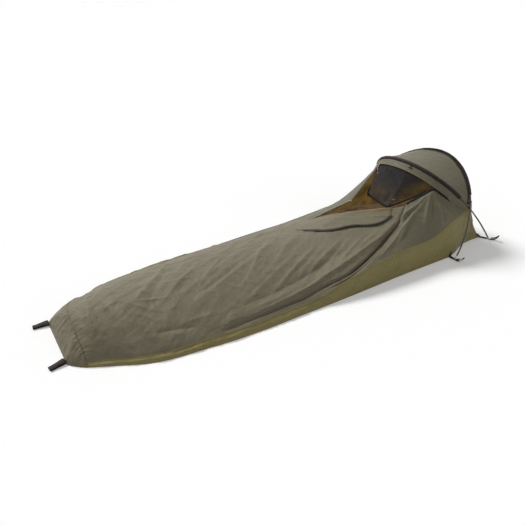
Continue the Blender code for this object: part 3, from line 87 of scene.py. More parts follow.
def pieces_mesh(name, verts, faces, uv, *finishes, face_finish=None):
    """Mesh object from points in metres, measured from the foot hem."""
    mesh = bpy.data.meshes.new(name)
    verts = np.asarray(verts, float) + (FOOT_X, 0, 0)
    mesh.from_pydata(verts.tolist(), [], [list(map(int, f)) for f in faces])
    for finish in finishes:
        mesh.materials.append(finish)
    if face_finish is not None:
        mesh.polygons.foreach_set("material_index", np.asarray(face_finish, np.int32))
    if uv is not None:
        layer = mesh.uv_layers.new(name="cut")
        corner = np.zeros(len(mesh.loops), np.int32)
        mesh.loops.foreach_get("vertex_index", corner)
        layer.data.foreach_set("uv", np.asarray(uv, np.float32)[corner].ravel())
    mesh.shade_smooth()
    obj = bpy.data.objects.new(name, mesh)
    bpy.context.scene.collection.objects.link(obj)
    return obj


def aimed(name, data, place, gaze):
    """Lamp or camera that looks along a direction from its place."""
    obj = bpy.data.objects.new(name, data)
    obj.location = place
    obj.rotation_mode = "QUATERNION"
    obj.rotation_quaternion = gaze.to_track_quat("-Z", "Y")
    bpy.context.scene.collection.objects.link(obj)
    return obj


world, tree = with_nodes(bpy.data.worlds.new("studio"))
tree.nodes.clear()
fill = add_node(tree, "Background", {"Strength": WORLD_FILL})
plain = add_node(tree, "Background", {"Color": (1, 1, 1)})
mix = add_node(tree, "MixShader", {0: seen_directly(tree), 1: fill.outputs[0], 2: plain.outputs[0]})
add_node(tree, "OutputWorld", {0: mix.outputs[0]})
bpy.context.scene.world = world

finish, tree = with_nodes(bpy.data.materials.new("studio_floor"))
tree.nodes.clear()
diffuse = add_node(tree, "BsdfDiffuse", {"Color": (FLOOR_TONE, FLOOR_TONE, FLOOR_TONE)})
glow = add_node(tree, "Emission", {"Strength": calc(tree, "MULTIPLY", seen_directly(tree), FLOOR_LIFT)})
mix = add_node(tree, "AddShader", {0: diffuse.outputs[0], 1: glow.outputs[0]})
add_node(tree, "OutputMaterial", {0: mix.outputs[0]})
corners = [(x * FLOOR_REACH - FOOT_X, y * FLOOR_REACH, -FLOOR_DEPTH)
           for x, y in ((-1, -1), (1, -1), (1, 1), (-1, 1))]
floor = pieces_mesh("studio_floor", corners, [(0, 1, 2, 3)], None, finish)
floor.data.shade_flat()

for name, way, strength, spread in LAMPS:
    lamp = bpy.data.lights.new(name, "SUN")
    lamp.energy, lamp.angle = strength, spread
    aimed(name, lamp, way, -Vector(way))
bpy.context.scene.view_settings.view_transform = "Standard"

# Camera: three-quarter view from the foot end, a third of a right angle above the ground, with
# a lens of normal length.
CAMERA_FROM_FOOT, CAMERA_LENS, CAMERA_SENSOR = (-0.173, -1.912, 1.383), 34.29, 36.0
CAMERA_AZIMUTH_DEG, CAMERA_ELEVATION_DEG = -32.785, 29.974

lens = bpy.data.cameras.new("camera")
lens.lens, lens.sensor_width = CAMERA_LENS, CAMERA_SENSOR
turn, tilt = math.radians(CAMERA_AZIMUTH_DEG), math.radians(CAMERA_ELEVATION_DEG)
gaze = Vector((-math.sin(turn) * math.cos(tilt), math.cos(turn) * math.cos(tilt), -math.sin(tilt)))
place = Vector(CAMERA_FROM_FOOT) + Vector((FOOT_X, 0, 0))
bpy.context.scene.camera = aimed("camera", lens, place, gaze)

# Cloth finishes: coated nylon with a fine plain weave that shows through the coating, small
# sharp crinkles from being packed, slow changes of tone and specks of dust.
DUST_COLOR = (0.42, 0.38, 0.30)
NOISE_ROUGHNESS, SHEEN_ROUGHNESS, CLOTH_SPECULAR = 0.55, 0.45, 0.14
WEAVE_STRENGTH = 0.6
# Painted glow: the lining and the tub floor emit their own colour, stronger on the crests of small folds, as
# painted light inside the tent.
LIT_FOLDS = {"From Min": 0.72, "From Max": 0.98, "To Min": 0.12, "To Max": 1.25}
LIT_FOLDS_SCALE = 0.45


def noise_node(tree, place, scale, detail):
    return add_node(tree, "TexNoise", {"Vector": place, "Scale": scale, "Detail": detail,
                                       "Roughness": NOISE_ROUGHNESS}).outputs["Fac"]


def mix_colors(tree, share, a, b, mode="MIX"):
    return add_node(tree, "Mix", {"Factor": share, 6: a, 7: b}, data_type="RGBA", blend_type=mode).outputs[2]


def open_group(name, inputs, outputs):
    group = bpy.data.node_groups.new(name, "ShaderNodeTree")
    for way, sockets in (("INPUT", inputs), ("OUTPUT", outputs)):
        for word, kind in sockets.items():
            group.interface.new_socket(name=word, in_out=way, socket_type="NodeSocket" + kind)
    return group, group.nodes.new("NodeGroupInput").outputs


def close_group(group, **outputs):
    feed(group, group.nodes.new("NodeGroupOutput"), outputs)
    return group


def plain_weave_group():
    """Over and under threads on the cloth's own cut in metres."""
    group, given = open_group("plain_weave", {"Cut": "Vector", "Threads": "Float"}, {"Height": "Float"})
    parts = add_node(group, "SeparateXYZ", {0: given["Cut"]}).outputs
    counts = [calc(group, "MULTIPLY", parts[axis], given["Threads"]) for axis in "XY"]
    warp, weft = (calc(group, "SINE", calc(group, "MULTIPLY", count, math.pi)) for count in counts)
    over = calc(group, "GREATER_THAN", calc(group, "MULTIPLY", warp, weft), 0.0)
    high = calc(group, "MULTIPLY", calc(group, "ABSOLUTE", warp), over)
    low = calc(group, "MULTIPLY", calc(group, "ABSOLUTE", weft), calc(group, "SUBTRACT", 1.0, over))
    return close_group(group, Height=calc(group, "ADD", high, low))


def crinkle_group():
    """Small sharp creases of coated cloth that has been packed, as a height."""
    group, given = open_group("crinkle", {"Place": "Vector", "Scale": "Float"}, {"Height": "Float"})
    bent = add_node(group, "VectorMath", {0: given["Place"], 1: (1.0, 0.62, 1.0)}, operation="MULTIPLY")
    fine_scale = calc(group, "MULTIPLY", given["Scale"], 3.3)
    fields = [noise_node(group, bent.outputs[0], scale, detail)
              for scale, detail in ((given["Scale"], 2.0), (fine_scale, 3.0))]
    broad, fine = (calc(group, "ABSOLUTE", calc(group, "SUBTRACT", field, 0.5)) for field in fields)
    both = calc(group, "ADD", broad, calc(group, "MULTIPLY", fine, 0.35))
    return close_group(group, Height=calc(group, "SUBTRACT", 1.0, both))


def cloth_tone_group():
    """Cloth colour that drifts slowly and has specks of dust, with a change of roughness."""
    group, given = open_group(
        "cloth_tone", {"Place": "Vector", "Color": "Color", "Variation": "Float", "Dust": "Float"},
        {"Color": "Color", "Shift": "Float"})
    slow, quick, speck = (noise_node(group, given["Place"], scale, detail)
                          for scale, detail in ((2.6, 3.0), (46.0, 4.0), (130.0, 2.0)))
    drift = calc(group, "ADD", calc(group, "MULTIPLY", slow, 0.7), calc(group, "MULTIPLY", quick, 0.3))
    swing = calc(group, "MULTIPLY", calc(group, "SUBTRACT", drift, 0.5), given["Variation"])
    value = calc(group, "ADD", 1.0, swing)
    tone = add_node(group, "HueSaturation", {"Value": value, "Color": given["Color"]})
    dusty = calc(group, "MULTIPLY", calc(group, "GREATER_THAN", speck, 0.66), given["Dust"])
    color = mix_colors(group, dusty, tone.outputs["Color"], DUST_COLOR)
    return close_group(group, Color=color, Shift=calc(group, "MULTIPLY", swing, 0.6))


PLAIN_WEAVE, CRINKLE, CLOTH_TONE = plain_weave_group(), crinkle_group(), cloth_tone_group()


def placed(tree, group, **values):
    return add_node(tree, "Group", values, node_tree=group).outputs


def bump(tree, height, distance, strength=1.0, **under):
    return add_node(tree, "Bump", {"Height": height, "Distance": distance, "Strength": strength,
                                   **under}).outputs["Normal"]


def toned_material(name, color, variation, dust):
    mat, tree = with_nodes(bpy.data.materials.new(name))
    place = add_node(tree, "TexCoord").outputs["Object"]
    tone = placed(tree, CLOTH_TONE, Place=place, Color=color, Variation=variation, Dust=dust)
    return mat, tree, place, tone


def shade(mat, inputs):
    feed(mat.node_tree, mat.node_tree.nodes["Principled BSDF"], inputs)
    return mat


def cloth_finish(name, color, roughness, threads, weave_depth, crinkle_scale, crinkle_depth,
                 variation=0.22, dust=0.04, sheen=0.03, painted_glow=0.0):
    mat, tree, place, tone = toned_material(name, color, variation, dust)
    cut = add_node(tree, "UVMap", uv_map="cut").outputs["UV"]
    weave = placed(tree, PLAIN_WEAVE, Cut=cut, Threads=threads)["Height"]
    creases = placed(tree, CRINKLE, Place=place, Scale=crinkle_scale)["Height"]
    normal = bump(tree, weave, weave_depth, WEAVE_STRENGTH, Normal=bump(tree, creases, crinkle_depth))
    # Painted glow: an emission in the cloth's own colour, brighter on fold crests, stands in for light inside
    # the tent.
    if painted_glow:
        folds = placed(tree, CRINKLE, Place=place, Scale=crinkle_scale * LIT_FOLDS_SCALE)["Height"]
        lit = add_node(tree, "MapRange", {"Value": folds, **LIT_FOLDS}).outputs[0]
        shade(mat, {"Emission Color": mix_colors(tree, 1.0, tone["Color"], lit, "MULTIPLY"),
                    "Emission Strength": painted_glow})
    return shade(mat, {"Base Color": tone["Color"], "Roughness": calc(tree, "ADD", roughness, tone["Shift"]),
                       "Normal": normal, "Sheen Weight": sheen, "Sheen Roughness": SHEEN_ROUGHNESS,
                       "Specular IOR Level": CLOTH_SPECULAR})


COVER_FINISH = cloth_finish("cover_nylon", (0.166, 0.147, 0.098), 0.52, 1100.0, 0.00010, 16.0, 0.0100)
WING_FINISH = cloth_finish("wing_nylon", (0.142, 0.130, 0.086), 0.52, 1100.0, 0.00010, 16.0, 0.0080)
# The lining carries a painted glow: it emits light though it is no lamp.
LINING_FINISH = cloth_finish("inner_coating", (0.150, 0.098, 0.028), 0.42, 1100.0, 0.00008, 15.0, 0.0100,
                             painted_glow=0.56)
WALL_FINISH = cloth_finish("tub_nylon", (0.232, 0.198, 0.082), 0.52, 1000.0, 0.00010, 20.0, 0.0080)
# The tub floor carries a painted glow as well.
FLOOR_FINISH = cloth_finish("floor_nylon", (0.250, 0.168, 0.108), 0.45, 900.0, 0.00012, 13.0, 0.0120,
                            painted_glow=0.30)
SLEEVE_FINISH = cloth_finish("sleeve_cloth", (0.030, 0.021, 0.020), 0.66, 700.0, 0.00018, 30.0, 0.0030,
                             sheen=0.0)

# The tent's plan, from the foot hem to the head: the outline of the tub, the height of its
# seam, the fall of the cover and the lines of the two hoops that hold the hood up.
BODY_LENGTH, BODY_HALF_WIDTH, BODY_HEIGHT = 2.400, 0.415, 0.420
SHOULDER_X, FLOOR_TOP, FOOT_HEIGHT = BODY_LENGTH - 0.352, 0.0012, 0.100
TAPER_PLACES = (0.0, 0.020, 0.054, 0.089, 0.141, 0.200, 0.244, 0.310, 0.382, 0.49, 0.64, 0.81, 1.0)
TAPER_WIDTHS = (0.40, 0.51, 0.61, 0.70, 0.83, 0.90, 0.925, 0.966, 0.99, 0.995, 1.0, 0.99, 1.0)
HEAD_PLACES = (0.0, 0.16, 0.38, 0.54, 0.66, 1.0)
HEAD_WIDTHS = (1.0, 0.964, 0.892, 0.850, 0.838, 0.836)
LEAN_PLACES = (0.03, 0.10, 0.30, 0.60, 0.80, 0.95, 1.0)
LEANS = (0.030, 0.050, 0.062, 0.062, 0.060, 0.060, 0.060)
NEAR_SEAM_PLACES = (0.033, 0.12, 0.30, 0.48, 0.56, 0.61, 0.70, 0.82, 0.95, 1.0)
NEAR_SEAM_HEIGHTS = (0.036, 0.048, 0.064, 0.076, 0.095, 0.160, 0.248, 0.315, 0.374, 0.495)
FAR_SEAM_PLACES = (0.033, 0.12, 0.48, 0.60, 0.70, 0.80, 0.88, 0.95, 1.0)
FAR_SEAM_HEIGHTS = (0.036, 0.045, 0.048, 0.071, 0.085, 0.125, 0.160, 0.180, 0.240)
CROWN_PLACES = (0.0, 0.030, 0.075, 0.15, 0.25, 0.37, 0.49, 0.59, 0.69, 0.735, 0.81, 0.887, 0.956, 1.01)
CROWNS = (0.19, 0.245, 0.315, 0.310, 0.285, 0.280, 0.285, 0.310, 0.385, 0.455, 0.50, 0.64, 0.85, 1.0)
NEAR_ROUNDNESS = 2.2
FAR_ROUND_PLACES = (0.0, 0.25, 0.49, 0.735, 0.91, 1.01)
FAR_ROUNDNESSES = (1.6, 1.7, 1.8, 1.3, 1.3, 2.0)
SEAM_END_DROP, SEAM_END_INSET = 0.012, 0.007
BROW_REACH, BROW_DROP = 0.030, 0.036
LIP_CORNER, LIP_ROOM, LIP_ROOM_END = 0.24, 0.0166, 0.08
# foot x, apex x, height, half span, shoulder, power of each hoop
REAR_HOOP = (SHOULDER_X, BODY_LENGTH - 0.048, 0.451, 0.450, 0.009, 1.145)
FRONT_HOOP = (BODY_LENGTH + 0.025, BODY_LENGTH - 0.364, 0.445, 0.39494, 0.032, 0.771)


def point(x, y, z):
    return np.array((x, y, z), float)


def lerp(a, b, t):
    return a + (b - a) * t


def side_of(p, side):
    return p if side < 0 else p * (1, -1, 1)


def smooth_table(x, places, values):
    """Value at x on a smooth curve through the places."""
    places, values = np.asarray(places, float), np.asarray(values, float)
    slopes = np.gradient(values, places)
    i = int(np.clip(np.searchsorted(places, x) - 1, 0, len(places) - 2))
    step = places[i + 1] - places[i]
    t = float(np.clip((x - places[i]) / step, 0.0, 1.0))
    rise = 3 * t ** 2 - 2 * t ** 3
    lead, tail = (t ** 3 - 2 * t ** 2 + t) * step, (t ** 3 - t ** 2) * step
    return float(values[i] * (1 - rise) + values[i + 1] * rise + lead * slopes[i] + tail * slopes[i + 1])


def half_width(x):
    if x <= SHOULDER_X:
        return BODY_HALF_WIDTH * smooth_table(x / SHOULDER_X, TAPER_PLACES, TAPER_WIDTHS)
    share = (x - SHOULDER_X) / (BODY_LENGTH - SHOULDER_X)
    return BODY_HALF_WIDTH * smooth_table(share, HEAD_PLACES, HEAD_WIDTHS)


def seam_point(x, side):
    share = x / SHOULDER_X
    table = (NEAR_SEAM_PLACES, NEAR_SEAM_HEIGHTS) if side < 0 else (FAR_SEAM_PLACES, FAR_SEAM_HEIGHTS)
    lean = BODY_HALF_WIDTH * smooth_table(share, LEAN_PLACES, LEANS)
    return point(x, side * (half_width(x) - lean), BODY_HEIGHT * smooth_table(share, *table))


def cover_height(x, y):
    share = x / SHOULDER_X
    seam = seam_point(x, -1 if y < 0 else 1)
    crown = BODY_HEIGHT * smooth_table(share, CROWN_PLACES, CROWNS)
    roundness = NEAR_ROUNDNESS if y < 0 else smooth_table(share, FAR_ROUND_PLACES, FAR_ROUNDNESSES)
    return seam[2] + (crown - seam[2]) * (1 - min(abs(y / seam[1]), 1.0) ** roundness)


def on_cover(x, y):
    return point(x, y, cover_height(x, y))


def on_plan(along, across):
    """Point of the cover from its shares of the shoulder's distance and the half width."""
    return on_cover(SHOULDER_X * along, BODY_HALF_WIDTH * across)


def hoop_point(hoop, angle):
    foot_x, apex_x, height, span, shoulder, power = hoop
    rise = max(math.sin(angle), 0.0) ** power
    y = -math.cos(angle) * (span + shoulder * math.sin(angle) ** 2)
    return point(foot_x + (apex_x - foot_x) * rise, y, height * rise)


def hoop_lean(hoop):
    return (hoop[1] - hoop[0]) / hoop[2]


CROSSING_Z = (FRONT_HOOP[0] - REAR_HOOP[0]) / (hoop_lean(REAR_HOOP) - hoop_lean(FRONT_HOOP))


def upper_arc(hoop, share):
    """Point on the part of a hoop above the crossings, from the near one to the far one."""
    start = math.asin(min((CROSSING_Z / hoop[2]) ** (1 / hoop[5]), 1.0))
    return hoop_point(hoop, start + share * (math.pi - 2 * start))


def lip_point(share):
    spread = 1 - 0.65 * abs(2 * share - 1) ** 6
    return upper_arc(FRONT_HOOP, share) + point(-BROW_REACH, 0, -BROW_DROP) * spread


def lip_edge(side, steps):
    """Edge of a wing under the brow, from the opening's top corner to the crossing."""
    out = []
    for i in range(steps + 1):
        share = LIP_CORNER * (1 - i / steps)
        drop = 0.0005 + LIP_ROOM * min(1.0, share / LIP_ROOM_END)
        out.append(side_of(lip_point(share) - point(0, 0, drop), side))
    return out


SEAM_END = lip_point(0.0) + point(0, SEAM_END_INSET, -SEAM_END_DROP)
DOOR_NEAR, DOOR_FAR, ZIP_BEND = on_plan(0.887, -0.361), on_plan(0.735, 0.410), on_plan(0.882, 0.410)

# Ways to work cloth: a coarse pattern of points is eased into a fine one, folds and crinkles
# are pushed into it along its own normals, and it becomes one thin sheet with its cut as UV.
ALL_SIDES = ("first_row", "last_row", "first_column", "last_column")
CLOTH_THICKNESS = 0.0008


def unit(v):
    v = np.asarray(v, float)
    return v / (np.linalg.norm(v, axis=-1, keepdims=True) + 1e-12)


def eased(points, steps):
    """More rows between the rows, on smooth curves through them."""
    p = np.asarray(points, float)
    p = np.concatenate([2 * p[:1] - p[1:2], p, 2 * p[-1:] - p[-2:-1]])
    a, b, c, d = p[:-3], p[1:-2], p[2:-1], p[3:]
    rows = [0.5 * (2 * b + (c - a) * t + (2 * a - 5 * b + 4 * c - d) * t ** 2
                   + (3 * b - 3 * c + d - a) * t ** 3) for t in np.arange(steps) / steps]
    fine = np.stack(rows, 1).reshape(-1, *p.shape[1:])
    return np.concatenate([fine, p[-2:-1]])


def eased_grid(grid, row_steps, column_steps):
    return np.swapaxes(eased(np.swapaxes(eased(grid, row_steps), 0, 1), column_steps), 0, 1)


def outward(grid, inward):
    """Normals of a grid of points, away from the inside of the tent."""
    normal = unit(np.cross(np.gradient(grid, axis=0), np.gradient(grid, axis=1)))
    middle = normal[grid.shape[0] // 2, grid.shape[1] // 2]
    return -normal if middle @ np.asarray(inward, float) > 0 else normal


def arc_lengths(grid, axis):
    steps = np.linalg.norm(np.diff(grid, axis=axis), axis=2)
    start = np.zeros_like(np.take(steps, [0], axis=axis))
    return np.concatenate([start, np.cumsum(steps, axis=axis)], axis=axis)


def edge_distance(grid, sides=ALL_SIDES):
    """Distance of each point from the named edges: first and last row, first and last column."""
    rows, columns = arc_lengths(grid, 0), arc_lengths(grid, 1)
    away = dict(zip(ALL_SIDES, (rows, rows[-1:] - rows, columns, columns[:, -1:] - columns)))
    return np.minimum.reduce([away[word] for word in sides])


def ramp(values, start, width):
    return np.clip((values - start) / width, 0, 1)


def ridges(grid, along, length, width, seed, sharpness=0.9):
    """Noise of long crests in one direction, from -1 to 1 with sharp tops."""
    along = np.asarray(along, float) / np.linalg.norm(along)
    flat = grid.reshape(-1, 3)
    stretch = flat @ along
    rest = flat - stretch[:, None] * along
    spots = rest / width + (stretch / length)[:, None] * along + seed * 7.31
    values = np.array([noise.noise(p) for p in spots])
    return (1 - 2 * np.abs(values) ** sharpness).reshape(grid.shape[:2])


def crests(grid, *kinds):
    """Sum of ridges; each kind has its height before its way, length, width, seed and sharpness."""
    return sum(height * ridges(grid, *kind) for height, *kind in kinds)


def pleats(grid, lines):
    """Heights of folds along lines; each has a width to each side, a height, and its places."""
    flat = grid.reshape(-1, 3)
    total = np.zeros(len(flat))
    for left, right, height, places in lines:
        line = eased(places, 3)
        best, share = np.full(len(flat), 1e9), np.zeros(len(flat))
        onto_left = np.zeros(len(flat), bool)
        for k, (a, b) in enumerate(zip(line[:-1], line[1:])):
            run = b - a
            t = np.clip((flat - a) @ run / (run @ run), 0, 1)
            away = flat - a - t[:, None] * run
            distance = np.linalg.norm(away, axis=1)
            nearer = distance < best
            best = np.where(nearer, distance, best)
            onto_left = np.where(nearer, run[0] * away[:, 1] - run[1] * away[:, 0] > 0, onto_left)
            share = np.where(nearer, (k + t) / (len(line) - 1), share)
        taper = np.sin(np.pi * (0.04 + 0.92 * share)) ** 0.7
        total += height * taper * np.exp(-(best / np.where(onto_left, left, right)) ** 1.25)
    return total.reshape(grid.shape[:2])


def in_metres(rows):
    """Folds for pleats from rows of left width, right width, height and places, in millimetres."""
    return [(*np.array(row[:3]) / 1000, np.reshape(row[3:], (-1, 3)) / 1000) for row in rows]


def pushed(grid, inward, lift, margin, power=1.0):
    """The grid with folds raised along its normals, fading out towards its sewn edges."""
    lift = lift * ramp(edge_distance(grid), 0, margin) ** power
    return grid + outward(grid, inward) * lift[:, :, None]


def seated(obj, body="shell", node=None):
    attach(obj, body)
    if node:
        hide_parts(node)
    return obj


def cloth_sheet(name, node, grid, inward, outer, inner, thickness=CLOTH_THICKNESS,
                body="shell", band=None):
    """One panel of cloth: a fine grid with a little thickness, lined with its inner coating."""
    index = np.arange(grid.shape[0] * grid.shape[1]).reshape(grid.shape[:2])
    quads = [index[:-1, :-1], index[:-1, 1:], index[1:, 1:], index[1:, :-1]]
    faces = np.stack([q.ravel() for q in quads], 1)
    plain = np.cross(np.gradient(grid, axis=0), np.gradient(grid, axis=1))
    if (plain * outward(grid, inward)).sum() > 0:
        faces = faces[:, ::-1]
    along, across = arc_lengths(grid, 0), arc_lengths(grid, 1)
    points, uv = grid.reshape(-1, 3), np.stack([along, across], 2).reshape(-1, 2)
    if band is None:
        obj = pieces_mesh(name, points, faces, uv, outer, inner)
    else:
        chosen = np.where(across[:-1, :-1].ravel() < band[1], 2, 0)
        obj = pieces_mesh(name, points, faces, uv, outer, inner, band[0], inner, face_finish=chosen)
    shell = obj.modifiers.new("thickness", "SOLIDIFY")
    shell.thickness, shell.offset = thickness, -1.0
    shell.material_offset, shell.material_offset_rim = 1, 0
    seated(obj, body, node)


# Sewn seams: two panels are laid edge to edge and felled, so a narrow double strip of the
# cover cloth stands slightly proud, held by two rows of short stitches.
WELT_WIDTH, WELT_HEIGHT, WELT_SINK = 0.0075, 0.0011, 0.0004
STITCH_PITCH, STITCH_LENGTH, STITCH_RADIUS = 0.0060, 0.0042, 0.00035
STITCH_FACES = [(0, 2, 1), (0, 3, 2), (0, 4, 3), (0, 1, 4), (5, 1, 2), (5, 2, 3), (5, 3, 4), (5, 4, 1)]
THREAD_FINISH = cloth_finish("sewing_thread", (0.10, 0.088, 0.060), 0.55, 4000.0, 0.00005, 60.0, 0.0004)


def path_length(path):
    return np.concatenate([[0], np.cumsum(np.linalg.norm(np.diff(path, axis=0), axis=1))])


def path_frame(path, normal):
    """Directions along, across and up from a path on a surface with that normal."""
    run = unit(np.gradient(path, axis=0))
    side = unit(np.cross(run, normal))
    return run, side, np.cross(side, run)


def strip(path, side, up, outline, across, closed=False, caps=-1):
    """Points, faces and cut of a strip whose closed outline of (side, up) pairs follows a path."""
    outline = np.asarray(outline, float)
    rings = path[:, None] + side[:, None] * outline[None, :, :1] + up[:, None] * outline[None, :, 1:]
    count, n = rings.shape[:2]
    faces = [(i * n + k, i * n + (k + 1) % n, (i + 1) % count * n + (k + 1) % n, (i + 1) % count * n + k)
             for i in range(count if closed else count - 1) for k in range(n)]
    if not closed:
        faces += [tuple(range(n))[::caps], tuple(range((count - 1) * n, count * n))[::-caps]]
    uv = np.stack(np.meshgrid(path_length(path), across, indexing="ij"), 2).reshape(-1, 2)
    return rings.reshape(-1, 3), faces, uv


def swept(path, normal, outline):
    _, side, up = path_frame(path, normal)
    return strip(path, side, up, outline, path_length(np.asarray(outline, float)), caps=1)


def joined(parts):
    """Several (points, faces, cut) sets as one."""
    starts = np.cumsum([0] + [len(part[0]) for part in parts[:-1]])
    faces = [tuple(k + int(start) for k in face) for part, start in zip(parts, starts) for face in part[1]]
    return np.concatenate([p[0] for p in parts]), faces, np.concatenate([p[2] for p in parts])


def sampled(lines, length, s):
    """Values of several lines at the distance s along their shared path."""
    return [np.array([np.interp(s, length, line[:, k]) for k in range(3)]) for line in lines]


def stitches(path, normal, offset=0.0, lift=0.0):
    """A row of short stitches beside a path, each a small spindle of thread."""
    lines, length, out = (path, *path_frame(path, normal)), path_length(path), []
    for s in np.arange(STITCH_PITCH, length[-1] - STITCH_PITCH, STITCH_PITCH):
        middle, run, side, up = sampled(lines, length, s)
        middle = middle + side * offset + up * lift
        ways = [-run * (STITCH_LENGTH / 2)] + [w * STITCH_RADIUS for w in (side, up, -side, -up)]
        ways.append(run * (STITCH_LENGTH / 2))
        out.append((middle + np.array(ways), STITCH_FACES, np.zeros((6, 2))))
    return out


def welt(name, path, normal, finish=COVER_FINISH, width=WELT_WIDTH):
    """A felled seam along a path with its two rows of stitches."""
    half, path = width / 2, eased(path, 4)
    outline = [(-half, -WELT_SINK), (half, -WELT_SINK), (half * 0.92, WELT_HEIGHT * 0.7),
               (half * 0.5, WELT_HEIGHT), (-half * 0.5, WELT_HEIGHT), (-half * 0.92, WELT_HEIGHT * 0.7)]
    rows = [s for row in (-half * 0.55, half * 0.55) for s in stitches(path, normal, row, WELT_HEIGHT * 1.05)]
    seated(pieces_mesh(name, *swept(path, normal, outline), finish))
    seated(pieces_mesh(name + "_stitching", *joined(rows), THREAD_FINISH))


# Tub floor: one waterproof sheet with the outline of the whole tent, flat on the ground and
# slightly rumpled inside, where it shows through the open door.
FLOOR_LOW, FLOOR_INSET = 0.0002, 0.0001
RUMPLE_AT_FOOT, RUMPLE_MORE_AT_HEAD = 0.012, 0.030

tub_floor = np.array([[point(x, (half_width(x) - FLOOR_INSET) * t, FLOOR_LOW) for t in np.linspace(-1, 1, 64)]
                      for x in np.linspace(0.0, BODY_LENGTH, 150)])
rumple = 0.5 + 0.5 * ridges(tub_floor, (0.8, 0.6, 0), 0.16, 0.055, 3, 0.8)
rumple = rumple * (0.5 + 0.5 * ridges(tub_floor, (0.3, -1.0, 0), 0.20, 0.07, 9, 0.8))
depth = RUMPLE_AT_FOOT + RUMPLE_MORE_AT_HEAD * ramp(tub_floor[:, :, 0], 1.35, 0.25)
tub_floor[:, :, 2] += depth * rumple * ramp(edge_distance(tub_floor), 0.03, 0.05)
cloth_sheet("tub_floor", "floor_sheet", tub_floor, (0, 0, 1), FLOOR_FINISH, FLOOR_FINISH)

# Edges that the panels share: the seam between tub and cover, the crease from that seam up to
# the door, and the gathered seam at the foot.
COVER_ROWS, COVER_SEAM_ROWS, COVER_COLUMNS = 21, 11, 16
CREASE_PLACES = (0.540, 0.610, 0.676, 0.738, 0.814, 0.887, 0.917)
CREASE_WIDTHS = (0.950, 0.905, 0.860, 0.795, 0.667, 0.554, 0.458)
NEAR_START_X, FAR_START_X = SHOULDER_X * 0.033, SHOULDER_X * 0.073
WING_UPPER_ROWS, WING_LIP_ROWS, HEAD_EDGE_ROWS = 3, 6, 5
WING_ROWS = COVER_ROWS - COVER_SEAM_ROWS + WING_UPPER_ROWS + WING_LIP_ROWS
FAR_SEAM_ROWS, FAR_SEAM_BOW, REAR_WALL_BOW = 10, 0.012, 0.016


def crease_edge():
    out = []
    for s in np.linspace(CREASE_PLACES[0], CREASE_PLACES[-1], COVER_ROWS - COVER_SEAM_ROWS + 1):
        x, y = SHOULDER_X * s, -BODY_HALF_WIDTH * smooth_table(s, CREASE_PLACES, CREASE_WIDTHS)
        out.append(on_cover(x, max(y, seam_point(x, -1)[1])))
    out[0] = seam_point(out[0][0], -1)
    return out


def seam_part(start, end, rows, side):
    return [seam_point(start + (end - start) * i / rows, side) for i in range(rows + 1)]


def seam_to_crossing(x_start, side, steps, bow=0.0):
    end, shoulder = side_of(SEAM_END, side), seam_point(SHOULDER_X, side)
    out = []
    for x in (x_start + (end[0] - x_start) * i / steps for i in range(steps)):
        t = (x - SHOULDER_X) / (end[0] - SHOULDER_X)
        beyond = lerp(shoulder, end, t) + point(0, 0, bow * math.sin(math.pi * t))
        out.append(seam_point(x, side) if x <= SHOULDER_X else beyond)
    return out + [end]


def foot_seam():
    near, far = NEAR_SEAM_LOW[0], FAR_SEAM_LOW[0]
    out = []
    for t in (j / COVER_COLUMNS for j in range(COVER_COLUMNS + 1)):
        base = lerp(near[2], far[2], t)
        z = base + (FOOT_HEIGHT - base) * math.sin(math.pi * t) ** 0.7
        out.append(point(lerp(near[0], far[0], t ** 4), lerp(near[1], far[1], t), z))
    return out


def loft(lower, upper, columns, bulge=(0, 0, 0), full_length=None):
    """Grid between two edges, bulging where the edges are the full length apart or more."""
    out = []
    for a, b in zip(lower, upper):
        share = min(np.linalg.norm(b - a) / full_length, 1.0) if full_length else 1.0
        push = np.asarray(bulge, float) * share
        out.append([lerp(a, b, t) + push * math.sin(math.pi * t) for t in np.linspace(0, 1, columns)])
    return np.array(out)


CREASE = crease_edge()
NEAR_SEAM_LOW = seam_part(NEAR_START_X, CREASE[0][0], COVER_SEAM_ROWS, -1)
NEAR_SEAM_HIGH = seam_to_crossing(CREASE[0][0], -1, WING_ROWS)
FAR_SEAM_LOW = seam_part(FAR_START_X, DOOR_FAR[0], COVER_ROWS, 1)
FAR_SEAM_HIGH = seam_to_crossing(DOOR_FAR[0], 1, FAR_SEAM_ROWS, FAR_SEAM_BOW)
NEAR_TUB_SEAM, FAR_TUB_SEAM = NEAR_SEAM_LOW[:-1] + NEAR_SEAM_HIGH, FAR_SEAM_LOW[:-1] + FAR_SEAM_HIGH
LIP_NEAR = lip_edge(-1, WING_LIP_ROWS)
FOOT_SEAM = foot_seam()

